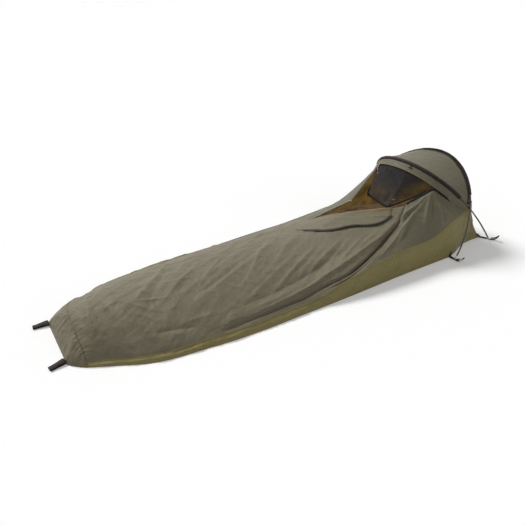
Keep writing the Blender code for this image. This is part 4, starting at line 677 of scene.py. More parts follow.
# Top cover: the large proofed panel from the foot seam to the fold of the door. It hangs from
# the seams and sags in long diagonal folds, deepest where it is drawn up to the hood.
# Each fold: width to the left, width to the right, height, then its places, in millimetres.
COVER_FOLDS = (
    (30, 12, 13, 620, -335, 40, 793, -340, 45, 948, -335, 50, 1167, -318, 70, 1316, -310, 100,
     1500, -290, 140, 1660, -262, 170, 1800, -215, 215),
    (10, 14, -4, 620, -340, 40, 850, -330, 45, 1080, -312, 63, 1280, -290, 98),
    (20, 26, -7, 780, -290, 70, 1000, -275, 80, 1220, -250, 100, 1450, -225, 145),
    (22, 9, 8, 1331, -100, 142, 1180, -163, 115, 1026, -234, 91, 895, -301, 67),
    (10, 16, -5, 1400, -90, 150, 1260, -160, 120, 1100, -220, 100, 980, -290, 70),
    (20, 10, 7, 1082, 42, 120, 956, -24, 118, 819, -80, 114, 688, -140, 107),
    (10, 18, -6, 922, -2, 118, 794, -75, 115, 659, -126, 109, 567, -156, 104),
    (18, 9, 6, 1201, -99, 126, 1031, -167, 107, 884, -232, 88, 795, -278, 74),
    (20, 10, 8, 667, 306, 48, 505, 103, 108, 400, 0, 120, 348, -69, 125),
    (10, 10, 6, 348, -69, 125, 408, -82, 121, 485, -102, 115),
    (20, 10, 9, 1446, -156, 163, 1316, -194, 130, 1197, -242, 102, 1110, -285, 78),
    (9, 14, -6, 1510, -165, 170, 1390, -205, 140, 1270, -245, 110, 1170, -292, 85),
    (16, 9, 8, 1605, -196, 184, 1494, -228, 164, 1393, -261, 132, 1321, -293, 111),
    (18, 10, 8, 762, 133, 102, 638, 34, 116, 525, -55, 118, 434, -130, 112),
    (16, 9, 6, 886, 123, 105, 775, 24, 116, 659, -74, 115),
    (12, 12, 4, 455, 37, 120, 565, 1, 118, 670, 0, 117),
    (18, 10, 14, 253, -5, 134, 287, -99, 123, 313, -198, 94, 332, -275, 58),
    (10, 18, -8, 210, 20, 134, 235, -90, 123, 250, -190, 94, 262, -260, 58),
    (16, 12, 7, 224, 143, 99, 260, -9, 133, 334, -93, 122, 417, -169, 104),
    (9, 18, 13, 138, -197, 63, 131, -128, 98, 146, -35, 128, 168, 80, 116),
    (12, 12, 5, 467, -261, 72, 561, -264, 73, 665, -276, 72),
    (12, 12, -6, 333, -254, 70, 437, -275, 66, 541, -302, 56),
    (12, 10, 5, 788, -316, 60, 926, -314, 62, 1035, -298, 71),
    (12, 10, 6, 1729, -193, 211, 1601, -232, 177, 1492, -261, 155),
    (16, 16, 6, 539, 265, 61, 694, 233, 75, 904, 238, 77),
    (16, 16, 6, 1019, 252, 74, 1222, 258, 78, 1439, 236, 101),
    (26, 12, 6, 1150, 100, 120, 1050, 20, 120, 930, -100, 115, 800, -200, 95),
    (12, 22, -6, 600, 180, 100, 520, 60, 120, 430, -50, 120, 370, -160, 105),
    (20, 10, 5, 1300, 60, 140, 1170, -30, 130, 1040, -120, 115),
)
LONG_FOLDS = 3
PUCKER_PITCH = 0.021
DEEP_LINE = [(0.62, -0.357, .036), (0.793, -0.358, .041), (0.948, -0.356, .045), (1.051, -0.358, .047),
             (1.167, -0.352, .063), (1.316, -0.362, .088)] + [tuple(p) for p in CREASE if p[0] > 1.37]
DEEP_WAY = np.array((-0.05, -0.38, 0.92))


def deep_crease(grid):
    """The long sharp valley where the cover is drawn up to the hood, in cover and wing alike."""
    beside = [(x - 0.012, y - 0.020 + 0.10 * max(x - 1.55, 0), z - 0.006) for x, y, z in DEEP_LINE[2:-2]]
    sink = pleats(grid, ((0.0048, 0.0070, -0.024, DEEP_LINE), (0.0045, 0.0060, -0.009, beside)))
    return DEEP_WAY * sink[:, :, None]


def top_cover_grid():
    near_edge, far_edge = NEAR_SEAM_LOW + CREASE[1:], FAR_SEAM_LOW
    door_columns = COVER_COLUMNS - 8
    head = [lerp(CREASE[-1], DOOR_NEAR, j / 2) for j in range(2)]
    head += [lerp(DOOR_NEAR, DOOR_FAR, j / door_columns) for j in range(door_columns)]
    head += [lerp(DOOR_FAR, FAR_SEAM_LOW[-1], j / 6) for j in range(7)]
    rows = [FOOT_SEAM]
    for i in range(1, COVER_ROWS + 1):
        s, row = i / COVER_ROWS, [near_edge[i]]
        for j in range(1, COVER_COLUMNS):
            t = j / COVER_COLUMNS
            corners = lerp(lerp(FOOT_SEAM[0], head[0], s), lerp(FOOT_SEAM[-1], head[-1], s), t)
            flat = lerp(near_edge[i], far_edge[i], t) + lerp(FOOT_SEAM[j], head[j], s) - corners
            row.append(on_cover(flat[0], flat[1]))
        rows.append(row + [far_edge[i]])
    rows[-1][2:3 + door_columns] = head[2:3 + door_columns]
    return np.array(rows)


def noise_field(grid, scale, seed):
    return np.array([noise.noise(p * scale + seed) for p in grid.reshape(-1, 3)]).reshape(grid.shape[:2])


def gathers(grid, edge, seed=2.0):
    """Puckers that run away from a gathered edge and die out within a few centimetres."""
    travel = arc_lengths(grid, {"first_row": 1, "last_column": 0}[edge])
    away = edge_distance(grid, (edge,))
    wander, broad = noise_field(grid, 9.0, seed), noise_field(grid, 22.0, seed + 5)
    wave = 0.6 * np.sin(2 * np.pi * travel / PUCKER_PITCH + 14.0 * wander) + 1.6 * broad
    reach = 0.020 + 0.034 * np.abs(wander)
    return wave * np.exp(-away / reach) * (0.35 + 1.3 * np.abs(broad)) * np.clip(away / 0.004, 0.25, 1)


cover = eased_grid(top_cover_grid(), 12, 10)
free = np.maximum(ramp(cover[:, :, 0], 1.52, -0.10), ramp(-cover[:, :, 1], 0.19, 0.05))
foot_share = ramp(cover[:, :, 0], 0.55, -0.55)
facets = ridges(cover, (0.55, -0.83, 0.0), 0.13, 0.070, 11, 0.8)
facets *= ridges(cover, (0.93, 0.36, 0.0), 0.20, 0.10, 13, 0.8)
folds = in_metres(COVER_FOLDS)
lift = pleats(cover, folds[:LONG_FOLDS]) * 1.5 + pleats(cover, folds[LONG_FOLDS:]) * 0.85 + 0.0042 * facets
lift += crests(cover, (0.0026, (0.86, 0.50, 0.06), 0.42, 0.075, 1))
lift += crests(cover, (0.0016, (0.80, 0.58, 0.06), 0.16, 0.030, 7)) * (0.6 + 0.7 * foot_share)
lift += crests(cover, (0.0022, (0.35, -0.93, 0.0), 0.30, 0.090, 4)) * foot_share
lift = lift * ramp(edge_distance(cover), 0, 0.022) ** 0.8 * (0.15 + 0.85 * free)
lift += 0.0034 * gathers(cover, "first_row")
cover = cover + outward(cover, (0, 0, -1)) * lift[:, :, None] + deep_crease(cover)
cloth_sheet("cover_panel", "top_cover", cover, (0, 0, -1), COVER_FINISH, LINING_FINISH)

# Foot panel: the small end piece of cover cloth between the floor's rounded hem and the cover,
# gathered into the foot seam.
FOOT_FOLDS = (
    (12, 18, -7, 63, 30, 95, 45, -50, 60, 30, -100, 30),
    (16, 10, 7, 62, -90, 80, 45, -130, 50, 20, -150, 15),
    (16, 12, 6, 60, 100, 85, 40, 50, 50, 15, 30, 15),
)


def foot_panel_grid():
    near = [NEAR_START_X, NEAR_START_X / 2]
    far = [FAR_START_X * i / 5 for i in range(6)]
    hem = [point(x, -half_width(x), FLOOR_TOP) for x in near]
    hem += [point(0, half_width(0.0) * (2 * i / 9 - 1), FLOOR_TOP) for i in range(9)]
    hem += [point(x, half_width(x), FLOOR_TOP) for x in far]
    return loft(hem, FOOT_SEAM, 4, (-0.1 * FOOT_HEIGHT, 0, 0), FOOT_HEIGHT)


foot = eased_grid(foot_panel_grid(), 12, 14)
lift = pleats(foot, in_metres(FOOT_FOLDS)) + crests(foot, (0.0028, (0.3, 0.3, 1.0), 0.10, 0.030, 5))
lift = lift * ramp(edge_distance(foot, ("first_row", "last_row", "first_column")), 0, 0.02)
lift = lift * np.clip(edge_distance(foot, ("last_column",)) / 0.012, 0.2, 1)
lift += 0.0032 * gathers(foot, "last_column")
foot = foot + outward(foot, (1, 0, -1)) * lift[:, :, None]
cloth_sheet("foot_end_panel", "foot_panel", foot, (1, 0, -1), COVER_FINISH, LINING_FINISH)

# Wings: the near one rises from the tub to the brow with folds that fan out from the top
# corner of the door; the far one is the narrow strip beside the far zip.
WING_FOLDS = (
    (16, 7, 9, 2035, -212, 328, 1950, -226, 290, 1854, -226, 250, 1771, -232, 213, 1690, -250, 180),
    (7, 12, -8, 2030, -222, 320, 1940, -240, 280, 1850, -252, 235, 1750, -270, 195, 1600, -310, 150),
    (13, 7, 8, 2035, -226, 325, 1977, -262, 278, 1931, -297, 237, 1888, -333, 196),
    (6, 10, -6, 2030, -240, 315, 1990, -285, 265, 1950, -330, 215),
    (12, 7, 8, 2043, -232, 325, 2035, -290, 275, 2023, -337, 229, 1996, -380, 187),
    (12, 7, 7, 1913, -234, 270, 1825, -276, 219, 1753, -308, 185, 1697, -337, 160),
    (6, 10, -6, 1860, -262, 235, 1790, -300, 195, 1720, -340, 165),
    (14, 8, 10, 2027, -226, 322, 1923, -245, 274, 1790, -280, 210, 1674, -320, 163, 1542, -361, 128),
    (10, 7, 6, 2060, -245, 322, 2100, -290, 285, 2132, -323, 255),
    (7, 12, -6, 2050, -250, 312, 2070, -310, 262, 2080, -350, 225),
)

upper = [lerp(CREASE[-1], LIP_NEAR[0], (i + 1) / WING_UPPER_ROWS) for i in range(WING_UPPER_ROWS)]
wing = eased_grid(loft(NEAR_SEAM_HIGH[1:], (CREASE + upper + LIP_NEAR[1:])[1:], 6), 9, 16)
lift = 1.3 * pleats(wing, in_metres(WING_FOLDS))
lift += crests(wing, (0.0016, (0.55, -0.35, -0.6), 0.20, 0.035, 12))
wing = pushed(wing, (0, 1, -1), lift, 0.016, 0.8) + deep_crease(wing)
cloth_sheet("near_wing", "near_wing_panel", wing, (0, 1, -1), WING_FINISH, LINING_FINISH)

lip_far = lip_edge(1, 4)
top = [lerp(DOOR_FAR, ZIP_BEND, i / 4) for i in range(4)]
top += [lerp(ZIP_BEND, lip_far[0], i / 2) for i in range(2)] + lip_far
far_wing = eased_grid(loft(FAR_SEAM_HIGH, top, 5), 12, 10)
lift = crests(far_wing, (0.0034, (0.9, 0.0, 0.4), 0.20, 0.035, 15))
far_wing = pushed(far_wing, (0, -1, -1), lift, 0.016, 0.8)
cloth_sheet("far_wing", "far_wing_panel", far_wing, (0, -1, -1), WING_FINISH, LINING_FINISH)

# Tub walls: olive waterproof cloth from the floor up to the seam, drawn back to the head
# corners, and the rear wall of the same cloth behind the head.
SLEEVE_CLEARANCE = 0.0085
REAR_COLUMNS = 14
# columns of the rear wall, and how far each end column is drawn towards its crossing
REAR_PLACES = [0, 0.35] + list(range(1, REAR_COLUMNS)) + [REAR_COLUMNS - 0.35, REAR_COLUMNS]
REAR_PINCH = {0.35: -0.045, REAR_COLUMNS - 0.35: 0.045}


def bowed(t):
    return point(-REAR_WALL_BOW * math.sin(math.pi * t), 0, 0)


def head_edge(side):
    corner = point(BODY_LENGTH, side * half_width(BODY_LENGTH), FLOOR_TOP)
    return [lerp(side_of(SEAM_END, side), corner, i / HEAD_EDGE_ROWS) + bowed(i / HEAD_EDGE_ROWS)
            for i in range(HEAD_EDGE_ROWS + 1)]


def side_wall_grid(side, seam):
    edge = head_edge(side)
    top_edge = seam + edge[1:-1] + [lerp(edge[-2], edge[-1], 0.8)]
    body_rows = sum(1 for p in seam if p[0] <= SHOULDER_X)
    step = (BODY_LENGTH - SHOULDER_X) / (len(top_edge) - body_rows + 1)
    places = [p[0] if i < body_rows else SHOULDER_X + step * (i - body_rows + 1)
              for i, p in enumerate(top_edge)]
    return loft([point(x, side * half_width(x), FLOOR_TOP) for x in places], top_edge, 4)


def beside_sleeve(hoop, share, target):
    """Point on a sleeve's edge, from the hoop's line towards the target."""
    center = upper_arc(hoop, share)
    return center + unit(target - center) * SLEEVE_CLEARANCE


def rear_wall_grid():
    rows = []
    for i in REAR_PLACES:
        hem = point(BODY_LENGTH, half_width(BODY_LENGTH) * (2 * i / REAR_COLUMNS - 1), FLOOR_TOP)
        share = 0.05 + 0.90 * i / REAR_COLUMNS + REAR_PINCH.get(i, 0.0)
        start = beside_sleeve(REAR_HOOP, share, hem)
        rows.append([lerp(start, hem, t) + bowed(t) for t in np.linspace(0, 1, 7)])
    near = head_edge(-1)
    for j in range(7):
        t = j / 6 * HEAD_EDGE_ROWS
        k = min(int(t), HEAD_EDGE_ROWS - 1)
        rows[0][j] = lerp(near[k], near[k + 1], t - k)
        rows[-1][j] = side_of(rows[0][j], 1)
    return np.array(rows)


for word, side, seam, seed in (("near", -1, NEAR_TUB_SEAM, 21), ("far", 1, FAR_TUB_SEAM, 25)):
    wall = eased_grid(side_wall_grid(side, seam), 8, 12)
    lift = crests(wall, (0.0060, (1.0, 0.0, 0.16), 0.26, 0.050, seed),
                  (0.0036, (0.7, 0.0, 0.7), 0.14, 0.030, seed + 2))
    wall = pushed(wall, (0, -side, 0), lift, 0.018)
    cloth_sheet(word + "_side_tub_wall", word + "_side_wall", wall, (0, -side, 0), WALL_FINISH, LINING_FINISH)
rear = eased_grid(rear_wall_grid(), 9, 12)
lift = crests(rear, (0.0045, (0.1, 0.0, 1.0), 0.30, 0.070, 31), (0.0018, (0.0, 0.8, 0.5), 0.12, 0.030, 33))
rear = pushed(rear, (-1, 0, 0), lift, 0.02)
cloth_sheet("rear_tub_wall", "rear_wall", rear, (-1, 0, 0), WALL_FINISH, LINING_FINISH)

# Hood: the canopy is stretched between the two sleeves, and the brow is a narrow overhang in
# front of the front sleeve that keeps rain off the zip.
CANOPY_START, CANOPY_SPAN, CANOPY_SAG, CANOPY_BAND = 0.022, 0.952, 0.010, 0.018
TIP_INSET, BROW_HEM_NEAR, BROW_HEM_FAR = 0.0105, 0.135, 0.285


def crossing_rows():
    """The canopy's far tip passes inside the crossed poles and is sewn to the side seam."""
    crossing = side_of(upper_arc(FRONT_HOOP, 0.0), 1) + point(0, -TIP_INSET, 0)
    end = side_of(SEAM_END, 1) + point(0, -0.003, 0.002)
    return [[middle + point(half * (1 - 2 * t), 0, 0) for t in np.linspace(0, 1, 7)]
            for middle, half in ((crossing, 0.009), (end, 0.006))]


def canopy_grid():
    rows = []
    for share in (CANOPY_START + CANOPY_SPAN * i / 20 for i in range(21)):
        a = beside_sleeve(REAR_HOOP, share, upper_arc(FRONT_HOOP, share))
        b = beside_sleeve(FRONT_HOOP, share, upper_arc(REAR_HOOP, share))
        sag = point(0, 0, -CANOPY_SAG * math.sin(math.pi * share))
        rows.append([lerp(a, b, t) + sag * math.sin(math.pi * t) for t in np.linspace(0, 1, 7)])
    return np.array(rows + crossing_rows())


def hem_drop(share):
    """The brow reaches down to the wing where no zip comes between them."""
    to_end = min(share, 1 - share)
    room = LIP_ROOM * min(1.0, to_end / LIP_ROOM_END) - 0.0008
    start = BROW_HEM_NEAR if share < 0.5 else BROW_HEM_FAR
    return max(room, 0.0) * float(ramp(to_end, start, -0.02))


def brow_grid():
    rows = []
    for share in (0.004 + 0.992 * i / 40 for i in range(41)):
        start = beside_sleeve(FRONT_HOOP, share, lip_point(share))
        hem = lip_point(share) + point(-0.002, 0, -hem_drop(share))
        rows.append([lerp(start, hem, t) for t in np.linspace(0, 1, 4)])
    return np.array(rows)


canopy = eased_grid(canopy_grid(), 8, 12)
lift = crests(canopy, (0.0034, (1.0, 0.0, 0.1), 0.60, 0.130, 41, 1.0),
              (0.0008, (0.8, 0.5, 0.1), 0.30, 0.060, 43, 1.0))
canopy = pushed(canopy, (0, 0, -1), lift, 0.014)
cloth_sheet("hood_canopy_panel", "hood_canopy", canopy, (0, 0, -1), WING_FINISH, LINING_FINISH,
            band=(SLEEVE_FINISH, CANOPY_BAND))
brow = eased_grid(brow_grid(), 4, 8)
lift = crests(brow, (0.0016, (0.0, 1.0, 0.2), 0.14, 0.024, 44))
lift = lift * ramp(edge_distance(brow, ("first_column", "first_row", "last_row")), 0, 0.008)
lift += 0.0012 * np.exp(-(edge_distance(brow, ("last_column",)) / 0.006) ** 2)
brow = brow + outward(brow, (1, 0, -1)) * lift[:, :, None]
cloth_sheet("hood_brow_panel", "hood_brow", brow, (1, 0, -1), WING_FINISH, LINING_FINISH)

# Pole sleeves: tunnels of thick dark cloth, folded once and sewn to the canopy, that lie over
# the poles like flattened tubes with small puckers.
SLEEVE_HALF_WIDTH, SLEEVE_HALF_DEPTH, SLEEVE_END_HEIGHT, SLEEVE_SIDES = 0.0105, 0.0068, 0.300, 20

angles = np.linspace(0, 2 * math.pi, SLEEVE_SIDES, endpoint=False)
outline = [(SLEEVE_HALF_DEPTH * math.cos(a), SLEEVE_HALF_WIDTH * math.sin(a)) for a in angles]
for word, hoop, seed in (("rear", REAR_HOOP, 51), ("front", FRONT_HOOP, 55)):
    line = np.array([hoop_point(hoop, a) for a in np.linspace(0, math.pi, 900)])
    line = line[line[:, 2] >= SLEEVE_END_HEIGHT][::3]
    verts, faces, uv = swept(line, unit((-hoop[2], 0, hoop[1] - hoop[0])), outline)
    core = np.repeat(line, SLEEVE_SIDES, axis=0)
    wander = np.array([noise.noise(Vector(p) * 60.0 + Vector((seed, 0, 0))) for p in verts])
    verts = core + (verts - core) * (0.98 + 0.10 * wander)[:, None]
    sleeve = pieces_mesh(word + "_sleeve_cloth", verts, faces, uv, SLEEVE_FINISH)
    seated(sleeve, "shell", word + "_pole_sleeve")

# Felled seams: the tub is joined to the cover and wings, the wing to the cover along the
# crease, and the walls at the head; the foot seam and the brow's hem are narrower.
HEM_WIDTH = 0.006

welt("near_tub_seam", NEAR_TUB_SEAM, (0, -0.9, 0.45), WALL_FINISH)
welt("far_tub_seam", FAR_TUB_SEAM, (0, 0.9, 0.45), WALL_FINISH)
crease_line = eased(CREASE, 6)
welt("crease_seam", crease_line + deep_crease(crease_line[None])[0], (-0.1, -0.5, 0.85))
welt("foot_seam_welt", FOOT_SEAM, (-0.8, 0, 0.6), width=HEM_WIDTH)
for word, side in (("near", -1), ("far", 1)):
    line = head_edge(side)
    line[-1] = lerp(line[-2], line[-1], 0.97)
    welt(word + "_head_seam", line, (0.75, side * 0.65, 0.1), WALL_FINISH)
welt("brow_hem", brow[:, -1][::8], (-0.75, 0, 0.65), width=HEM_WIDTH)

# Zips: woven tape with a row of moulded coil teeth along its free edge. The door's halves
# are on the far wing, the near wing and the flap; the net has a zip of its own.
ZIP_TAPE_WIDTH, ZIP_TAPE_HALF, ZIP_TEETH_ROOM, TOOTH_PITCH = 0.013, 0.0004, 0.0032, 0.0026
# reach, half length and half height of a tooth at its root, middle and tip
TOOTH_RINGS = ((0.0, 0.0007, 0.0010), (0.0022, 0.0008, 0.0013), (0.0034, 0.0005, 0.0007))
TOOTH_FACES = [(k + 4 * r, (k + 1) % 4 + 4 * r, (k + 1) % 4 + 4 * r + 4, k + 4 * r + 4)
               for r in range(2) for k in range(4)] + [(3, 2, 1, 0), (8, 9, 10, 11)]
ZIP_FINISH = cloth_finish("zip_tape", (0.013, 0.012, 0.012), 0.60, 1400.0, 0.00015, 40.0, 0.0008,
                          variation=0.5, dust=0.10, sheen=0.1)
NET_CORNER_NEAR = point(SHOULDER_X * 0.920, BODY_HALF_WIDTH * -0.145, BODY_HEIGHT * 0.512)
NET_CORNER_FAR = point(SHOULDER_X * 0.942, BODY_HALF_WIDTH * 0.385, BODY_HEIGHT * 0.514)


def plastic_finish(name, color, roughness):
    mat, tree, place, tone = toned_material(name, color, 0.35, 0.12)
    scuff = calc(tree, "MULTIPLY", noise_node(tree, place, 260.0, 4.0), 0.24)
    grain = bump(tree, noise_node(tree, place, 900.0, 3.0), 0.0002, 0.5)
    return shade(mat, {"Base Color": tone["Color"], "Roughness": calc(tree, "ADD", roughness - 0.12, scuff),
                       "Normal": grain})


TOOTH_FINISH = plastic_finish("zip_teeth", (0.012, 0.012, 0.013), 0.38)


def zip_half(name, node, path, toward, body="shell"):
    """Half a zip along a path; toward is the way from the sewn edge to the teeth."""
    fine, way = eased(path, 6), eased(np.broadcast_to(toward, np.shape(path)), 6)
    run = unit(np.gradient(fine, axis=0))
    up = unit(np.cross(run, way))
    aside = np.cross(up, run)
    edge, t = ZIP_TAPE_WIDTH - ZIP_TEETH_ROOM, ZIP_TAPE_HALF
    outline = np.array([(0, -t), (edge / 2, -t * 1.2), (edge, -t), (edge + 0.001, 0), (edge, t),
                        (edge / 2, t * 1.2), (0, t)])
    tape = pieces_mesh(name, *strip(fine, aside, up, outline, outline.sum(axis=1)), ZIP_FINISH)
    seated(tape, body, node)
    teeth, length = [], path_length(fine)
    for s in np.arange(TOOTH_PITCH, length[-1] - TOOTH_PITCH / 2, TOOTH_PITCH):
        base, ahead, out, rise = sampled((fine, run, aside, up), length, s)
        corners = [base + out * (edge - t + reach) + ahead * (a * half) + rise * (b * high)
                   for reach, half, high in TOOTH_RINGS for a, b in ((-1, -1), (1, -1), (1, 1), (-1, 1))]
        teeth.append((np.array(corners), TOOTH_FACES, np.zeros((12, 2))))
    row = pieces_mesh(name + "_teeth", *joined(teeth), TOOTH_FINISH)
    row.data.shade_flat()
    seated(row, body)


lip_top, bend_run = lip_far[0], unit(ZIP_BEND - DOOR_FAR)
far_path = [DOOR_FAR + bend_run * 0.022, lerp(DOOR_FAR, ZIP_BEND, 0.4), lerp(DOOR_FAR, ZIP_BEND, 0.8),
            ZIP_BEND - bend_run * 0.012] + [lerp(ZIP_BEND, lip_top, t) for t in (0.05, 0.5, 0.94)]
zip_half("far_zip", "far_zip_tape", far_path, (0, -0.9, 0.44))
near_first = lerp(CREASE[-1], LIP_NEAR[0], 0.06)
near_path = [lerp(near_first, LIP_NEAR[0], t) for t in (0, .33, .66, .93)]
near_path += [lerp(LIP_NEAR[0], LIP_NEAR[1], 0.25)] + LIP_NEAR[1:4]
near_ways = [(0, 0.78, 0.62)] * 3 + [(0, 0.5, 0.85), (0, 0.25, 0.97)] + [(0, 0, 1)] * 3
zip_half("near_zip", "near_zip_tape", near_path, near_ways)
net_path = [lerp(NET_CORNER_NEAR, NET_CORNER_FAR, t) for t in (0, 0.33, 0.66, 1.0)]
zip_half("net_zip", "net_zip_tape", net_path, (0, 0, -1.0))

# Mosquito net: fine black mesh under the brow, half unzipped, bound with a black tape along
# its free edges and joined down the middle.
NET_MESH, NET_COLOR = 1100.0, (0.010, 0.008, 0.007)
# share of the mesh that is thread, which looks denser where the net is seen at a slant
NET_THREAD = {"From Min": 0.06, "From Max": 0.15, "To Min": 0.28, "To Max": 0.70}


def cut_parts(tree):
    return add_node(tree, "SeparateXYZ", {0: add_node(tree, "UVMap", uv_map="cut").outputs["UV"]}).outputs


def net_finish():
    mat, tree, place, tone = toned_material("mosquito_net", NET_COLOR, 0.6, 0.02)
    parts = cut_parts(tree)
    thread = add_node(tree, "MapRange", {"Value": parts["Y"], **NET_THREAD}).outputs[0]
    runs = [calc(tree, "FRACT", calc(tree, "MULTIPLY", parts[axis], NET_MESH)) for axis in "XY"]
    either = calc(tree, "MAXIMUM", *(calc(tree, "LESS_THAN", run, thread) for run in runs))
    return shade(mat, {"Base Color": tone["Color"], "Alpha": either, "Normal": bump(tree, either, 0.0002),
                       "Roughness": calc(tree, "ADD", 0.55, calc(tree, "MULTIPLY", either, 0.1)),
                       "Specular IOR Level": 0.2})


NET_FINISH = net_finish()
net_inside = unit((BROW_DROP, 0, -BROW_REACH))
net_top = [lerp(lip_point(share), upper_arc(FRONT_HOOP, share), 0.12) + net_inside * 0.0016
           for share in np.linspace(0.23, 0.72, 13)]
near_end = LIP_NEAR[0] + point(0, 0.5, -0.2) * ZIP_TAPE_WIDTH
net_low = [lerp(near_end, NET_CORNER_NEAR, i / 5) for i in range(5)]
net_low += [lerp(NET_CORNER_NEAR, NET_CORNER_FAR, i / 5) for i in range(5)]
net_low += [lerp(NET_CORNER_FAR, net_top[-1] + point(0, 0, -ZIP_TAPE_WIDTH), i / 2) for i in range(3)]
net = eased_grid(loft(net_low, net_top, 6, net_inside * 0.006, BODY_HEIGHT / 2), 8, 10)
out = outward(net, net_inside)
net = pushed(net, net_inside, crests(net, (0.0040, (0.3, 0.3, 0.9), 0.20, 0.045, 61)), 0.02)
cloth_sheet("net_panel", "net_door", net, net_inside, NET_FINISH, NET_FINISH,
            thickness=0.0003)
welt("net_near_binding", net[:41:8, 0], out[20, 0], ZIP_FINISH, width=0.010)
welt("net_far_binding", net[80::8, 0], out[88, 0], ZIP_FINISH, width=0.010)
welt("net_middle_seam", net[40, ::8], out[40, 20], ZIP_FINISH, width=0.005)

# Door: the panel that closes the opening, unzipped and folded back over the cover, so that
# its olive facing shows along the fold and its zip half lies on the cover.
FLAP_PLACES = (0.0, 0.10, 0.40, 0.80, 1.0)
FLAP_REACHES = (0.11, 0.22, 0.34, 0.45, 0.30)
FLAP_SLANTS = (0.0, 0.0, 0.0, 0.03, 0.24)
FLAP_END, FLAP_HEIGHT, FLAP_ROLL, FLAP_THICKNESS, FACING_WIDTH = 0.965, 0.0038, 0.0045, 0.0012, 0.042
FACING_FINISH = cloth_finish("door_facing", (0.172, 0.142, 0.070), 0.50, 1000.0, 0.00010, 22.0, 0.0030)
flat = unit((DOOR_FAR - DOOR_NEAR) * (1, 1, 0))
back = point(-abs(flat[1]), flat[0], 0)


def flap_row(t):
    fold = lerp(DOOR_NEAR, DOOR_FAR, t)
    reach, slant = (BODY_HALF_WIDTH * smooth_table(t, FLAP_PLACES, table)
                    for table in (FLAP_REACHES, FLAP_SLANTS))
    row = []
    for s in np.linspace(0, 1, 26):
        p = fold + back * (reach * s) + flat * (slant * s)
        z = cover_height(p[0], p[1]) if s > 0 else fold[2]
        roll = FLAP_ROLL * math.exp(-((s - 0.10) / 0.10) ** 2) * min(1.0, (FLAP_END - t) / 0.25)
        row.append(point(p[0], p[1], z + FLAP_HEIGHT + roll))
    return row


flap = np.array([flap_row(t) for t in np.linspace(0, FLAP_END, 90)])
still = ramp(edge_distance(flap, ("first_row",)), 0, 0.02)
still *= ramp(edge_distance(flap, ("last_row",)), 0.03, 0.10)
lift = (crests(flap, (0.0022, flat, 0.16, 0.022, 71)) + 0.0020) * still
flap = flap + outward(flap, (0, 0, -1)) * lift[:, :, None]
cloth_sheet("door_panel", "door_flap", flap, (0, 0, -1), COVER_FINISH, WING_FINISH,
            thickness=FLAP_THICKNESS, body="door", band=(FACING_FINISH, FACING_WIDTH))
zip_half("door_zip", "door_zip_tape", flap[::6, -1] - (0, 0, ZIP_TAPE_HALF),
         (flap[::6, -1] - flap[::6, -3]) * (1, 1, 0.4), body="door")

# Webbing: woven straps at the tub's corners with a metal eyelet for the pole's pin, and sewn
# loops for the ground pegs, all cut from one dark tape with box stitching at the roots.
STRAP_WIDTH, WEBBING_THICKNESS, PEG_LOOP_WIDTH, FOOT_LOOP_WIDTH = 0.021, 0.0016, 0.016, 0.025
WEBBING_COLOR, WEBBING_CRESTS, RIBS, RIB_ROWS = (0.022, 0.014, 0.013), (0.045, 0.031, 0.028), 1500.0, 2100.0
TAB_HEIGHT, STANDOFF, STRAP_MIDDLE, STRAP_END, EYELET_RADIUS = 0.045, 0.0012, 0.0022, 0.013, 0.0058
# length, radius at the root, radius at the tip and rise of the tip of the two kinds of loop
PEG_LOOP, FOOT_LOOP = (0.030, 0.0050, 0.0040, 0.022), (0.058, 0.0075, 0.0035, 0.0)
LOOP_GAP = 0.0003
CUTTER_LOW, CUTTER_HIGH, CUTTER_SIDES = -0.004, 0.012, 24


def webbing_finish():
    mat, tree, place, tone = toned_material("webbing", WEBBING_COLOR, 0.6, 0.10)
    parts = cut_parts(tree)
    slant = calc(tree, "ADD", parts["X"], parts["Y"])
    ribs, rows = (calc(tree, "ABSOLUTE", calc(tree, "SINE", calc(tree, "MULTIPLY", run, count)))
                  for run, count in ((slant, RIBS), (parts["Y"], RIB_ROWS)))
    height = calc(tree, "ADD", ribs, calc(tree, "MULTIPLY", rows, 0.6))
    color = mix_colors(tree, calc(tree, "MULTIPLY", height, 0.25), tone["Color"], WEBBING_CRESTS)
    return shade(mat, {"Base Color": color, "Roughness": calc(tree, "ADD", 0.68, tone["Shift"]),
                       "Normal": bump(tree, height, 0.0003), "Specular IOR Level": 0.2})


WEBBING_FINISH = webbing_finish()


def box_stitch(path, across, width):
    """Rectangle of stitches with a cross, on both faces of the tape's first stretch."""
    run, half = unit(path[1] - path[0]), across * (width / 2 * 0.78)
    a, b = path[0] + run * 0.002, path[1] - run * 0.002
    corners, out = [a - half, a + half, b + half, b - half], []
    face = np.cross(run, across)
    for k, m in ((0, 1), (1, 2), (2, 3), (3, 0), (0, 2), (1, 3)):
        for sign in (-1, 1):
            shift = face * (sign * (WEBBING_THICKNESS / 2 + 0.0002))
            out += stitches(np.array([lerp(corners[k], corners[m], t) + shift for t in (0, 0.5, 1)]), face)
    return out


def ring_hole(place, radius):
    angles = np.linspace(0, 2 * math.pi, CUTTER_SIDES, endpoint=False)
    ring = [point(place[0] + radius * math.cos(a), place[1] + radius * math.sin(a), z)
            for z in (CUTTER_LOW, CUTTER_HIGH) for a in angles]
    n = CUTTER_SIDES
    faces = [tuple(reversed(range(n))), tuple(range(n, 2 * n))]
    faces += [(k, (k + 1) % n, n + (k + 1) % n, n + k) for k in range(n)]
    return pieces_mesh("hole_cutter", ring, faces, None, WEBBING_FINISH)


